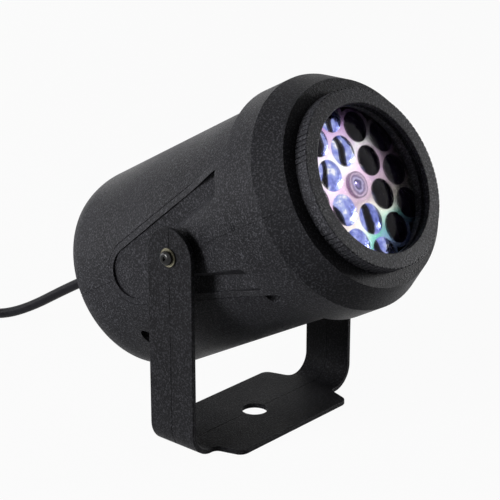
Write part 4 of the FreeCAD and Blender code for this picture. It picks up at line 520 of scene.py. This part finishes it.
def lens_painted_reflections(name):
    """Dark lens with painted blue reflections in broken patches, fading to painted shade towards
    +X.
    """
    material, tree, shader, place = new_material(
        name, Specular_IOR_Level=LENS_SPECULAR, Roughness=LENS_ROUGHNESS,
    )
    # Painted reflections: broken patches of blue and near-white.
    patches = bands(
        tree, place, "X",
        Scale=22.0, Distortion=7.0, Detail=1.5, Detail_Scale=2.2, Phase_Offset=1.2,
    )
    broken = spread(tree, patches, 0.0, 1.0, *REFLECTION_PATCH_LEVELS)
    # Painted shade: the painted reflections fade out towards +X, where the wheel lies in shade.
    side = spread(tree, dot(tree, place, SIDE_WAY), 1.0, 0.0, *PAINTED_SHADE_FADE_SPAN)
    painted_reflection = math_node(tree, "MULTIPLY", broken, side)
    cloud = noise(tree, place, LENS_RIPPLE, 3.0, 0.6)
    blue = ramp(tree, spread(tree, cloud, 0, 1), PAINTED_REFLECTION_STOPS)
    put_all(tree, shader, {
        "Base_Color": blended(tree, painted_reflection, LENS_COLOUR, blue),
        "Metallic": painted_reflection,
        "Normal": bump(tree, cloud, LENS_RIPPLE_DEPTH),
    })
    return material


def clear_button(name):
    """Clear moulded button: painted lavender reflections in rings round a dark eye."""
    material, tree, shader, place = new_material(name, Metallic=0.75, Roughness=0.08)
    squares = [math_node(tree, "MULTIPLY", value, value) for value in face_place(tree, place)]
    reach = math_node(tree, "SQRT", math_node(tree, "ADD", *squares), 0.0)
    uneven = noise(tree, place, BUTTON_WOBBLE_SIZE)
    wobble = math_node(tree, "MULTIPLY", uneven, BUTTON_WOBBLE_REACH)
    share = spread(tree, math_node(tree, "ADD", reach, wobble), 0, 1, *BUTTON_SPAN)
    put_all(tree, shader, {
        "Base_Color": ramp(tree, share, BUTTON_REFLECTION_STOPS),
        "Normal": bump(tree, reach, BUTTON_RING_DEPTH, 0.6),
    })
    return material


# Each slot: its maker, then what the maker is given after the name
MAKERS = {
    "yoke_plastic": (moulded_plastic, tinted(CHARCOAL, 0.58), 0.46),
    "shell_plastic": (moulded_plastic, CHARCOAL, 0.43),
    "ring_plastic": (moulded_plastic, tinted(CHARCOAL, 1.9), 0.43),
    "inner_plastic": (moulded_plastic, SOOT, 0.45, GRAIN, 0.06 * MM),
    "gland_rubber": (soft_rubber, SOOT, 0.55),
    "seal_rubber": (soft_rubber, SOOT, 0.65),
    "cord_sheath": (soft_rubber, (0.008, 0.008, 0.010), 0.42),
    "plug_plastic": (moulded_plastic, SOOT, 0.40, GRAIN, 0.05 * MM),
    "pin_nickel": (plain_metal, (0.72, 0.70, 0.66), 0.22),
    "screw_steel": (plain_metal, (0.03, 0.03, 0.03), 0.25),
    "washer_steel": (plain_metal, (0.15, 0.14, 0.10), 0.35),
    "motor_steel": (plain_metal, (0.62, 0.64, 0.70), 0.22),
    "window_clear": (coated_window,),
    "wheel_mirror": (rainbow_mirror,),
    "lens_clear": (lens_painted_reflections,),
    "hub_clear": (clear_button,),
    "slide_film": (film_slide,),
    "led_clear": (clear_plastic, (1.0, 0.98, 0.80), 0.05),
    "board_white": (circuit_board, (0.80, 0.80, 0.78)),
    "board_green": (circuit_board, (0.02, 0.16, 0.05)),
    "sink_aluminium": (plain_metal, (0.70, 0.71, 0.72), 0.35),
    "transformer_yellow": (painted, (0.62, 0.42, 0.03), 0.45),
    "capacitor_sleeve": (painted, (0.02, 0.03, 0.10), 0.30),
    "terminal_plastic": (painted, (0.03, 0.20, 0.10), 0.40),
    "lead_insulation": (painted, (0.30, 0.02, 0.02), 0.40),
}
finishes = {}


def finish(slot):
    """The material of one of the record's slots, made once."""
    if slot not in finishes:
        make, *settings = MAKERS[slot]
        finishes[slot] = make(slot, *settings)
    return finishes[slot]


def dress_nodes():
    for part in frame["record"]["subparts"]:
        for place in NODES[part["node"]].material_slots:
            place.material = finish(part["material_slot"])


# Studio
FLOOR_REACH = 4.0
FLOOR_COLOUR = (0.45, 0.45, 0.45)
FLOOR_PATCH = 0.4
FLOOR_GLOW_SHARE = 0.95
AMBIENT = 0.012


def seen_rays(tree):
    """1 for the rays that see the backdrop: straight on, in a mirror or through glass."""
    rays = new_node(tree, "ShaderNodeLightPath").outputs
    mirrored = math_node(tree, "MAXIMUM", rays["Is Glossy Ray"], rays["Is Transmission Ray"])
    return math_node(tree, "MAXIMUM", rays["Is Camera Ray"], mirrored)


def make_floor():
    """A plain floor that looks white and keeps a faint shadow."""
    mesh = bpy.data.meshes.new("floor")
    ways = [(-1, -1), (1, -1), (1, 1), (-1, 1)]
    corners = [(x * FLOOR_REACH, y * FLOOR_REACH, 0) for x, y in ways]
    mesh.from_pydata(corners, [], [(0, 1, 2, 3)])
    floor = bpy.data.objects.new("floor", mesh)
    bpy.context.scene.collection.objects.link(floor)
    material, tree, shader, place = new_material(
        "floor_paint", Roughness=0.9, Specular_IOR_Level=0.1,
    )
    cloud = noise(tree, place, FLOOR_PATCH)
    paint = ramp(tree, cloud, [(0, tinted(FLOOR_COLOUR, 0.98)), (1, FLOOR_COLOUR)])
    put_all(tree, shader, {"Base_Color": paint})
    glow = new_node(tree, "ShaderNodeEmission", Strength=1.0)
    seen = math_node(tree, "MULTIPLY", seen_rays(tree), FLOOR_GLOW_SHARE)
    mix = new_node(tree, "ShaderNodeMixShader", Fac=seen)
    tree.links.new(shader.outputs[0], mix.inputs[1])
    tree.links.new(glow.outputs[0], mix.inputs[2])
    tree.links.new(mix.outputs[0], tree.nodes["Material Output"].inputs["Surface"])
    mesh.materials.append(material)


# Each softbox: name, direction it stands in, distance, size and power
LAMPS = [
    ("rear_softbox", (-0.5, 0.87, 0.14), 1.3, (0.6, 0.6), 6.0),
    ("side_softbox", (-0.90, 0.28, 0.24), 1.3, (0.5, 0.5), 18.0),
    ("front_softbox", (0.93, -0.36, 0.0), 1.3, (0.5, 0.35), 20.0),
    ("far_softbox", (0.5, 0.87, 0.16), 1.3, (0.6, 0.6), 0.8),
    ("top_softbox", (0.1, 0.2, 1.0), 1.4, (0.9, 0.9), 0.3),
]


def make_lamp(name, way, distance, sizes, power):
    """A softbox that faces the pivot."""
    data = bpy.data.lights.new(name, "AREA")
    data.shape = "RECTANGLE"
    data.size, data.size_y = sizes
    data.energy = power
    lamp = bpy.data.objects.new(name, data)
    bpy.context.scene.collection.objects.link(lamp)
    back = Vector(way).normalized()
    lamp.location = PIVOT + back * distance
    lamp.rotation_mode = "QUATERNION"
    lamp.rotation_quaternion = (-back).to_track_quat("-Z", "Y")


def make_world():
    """White to the eye and in reflections, and a dim grey as light."""
    world = bpy.data.worlds.new("studio")
    world.use_nodes = True
    tree = world.node_tree
    backdrop = tree.nodes["Background"]
    strength = math_node(tree, "MAXIMUM", seen_rays(tree), AMBIENT)
    put_all(tree, backdrop, {"Color": (*WHITE, 1), "Strength": strength})
    bpy.context.scene.world = world


make_camera()
make_cord()
dress_nodes()
make_floor()
for lamp in LAMPS:
    make_lamp(*lamp)
make_world()
bpy.context.scene.view_settings.view_transform = "Standard"
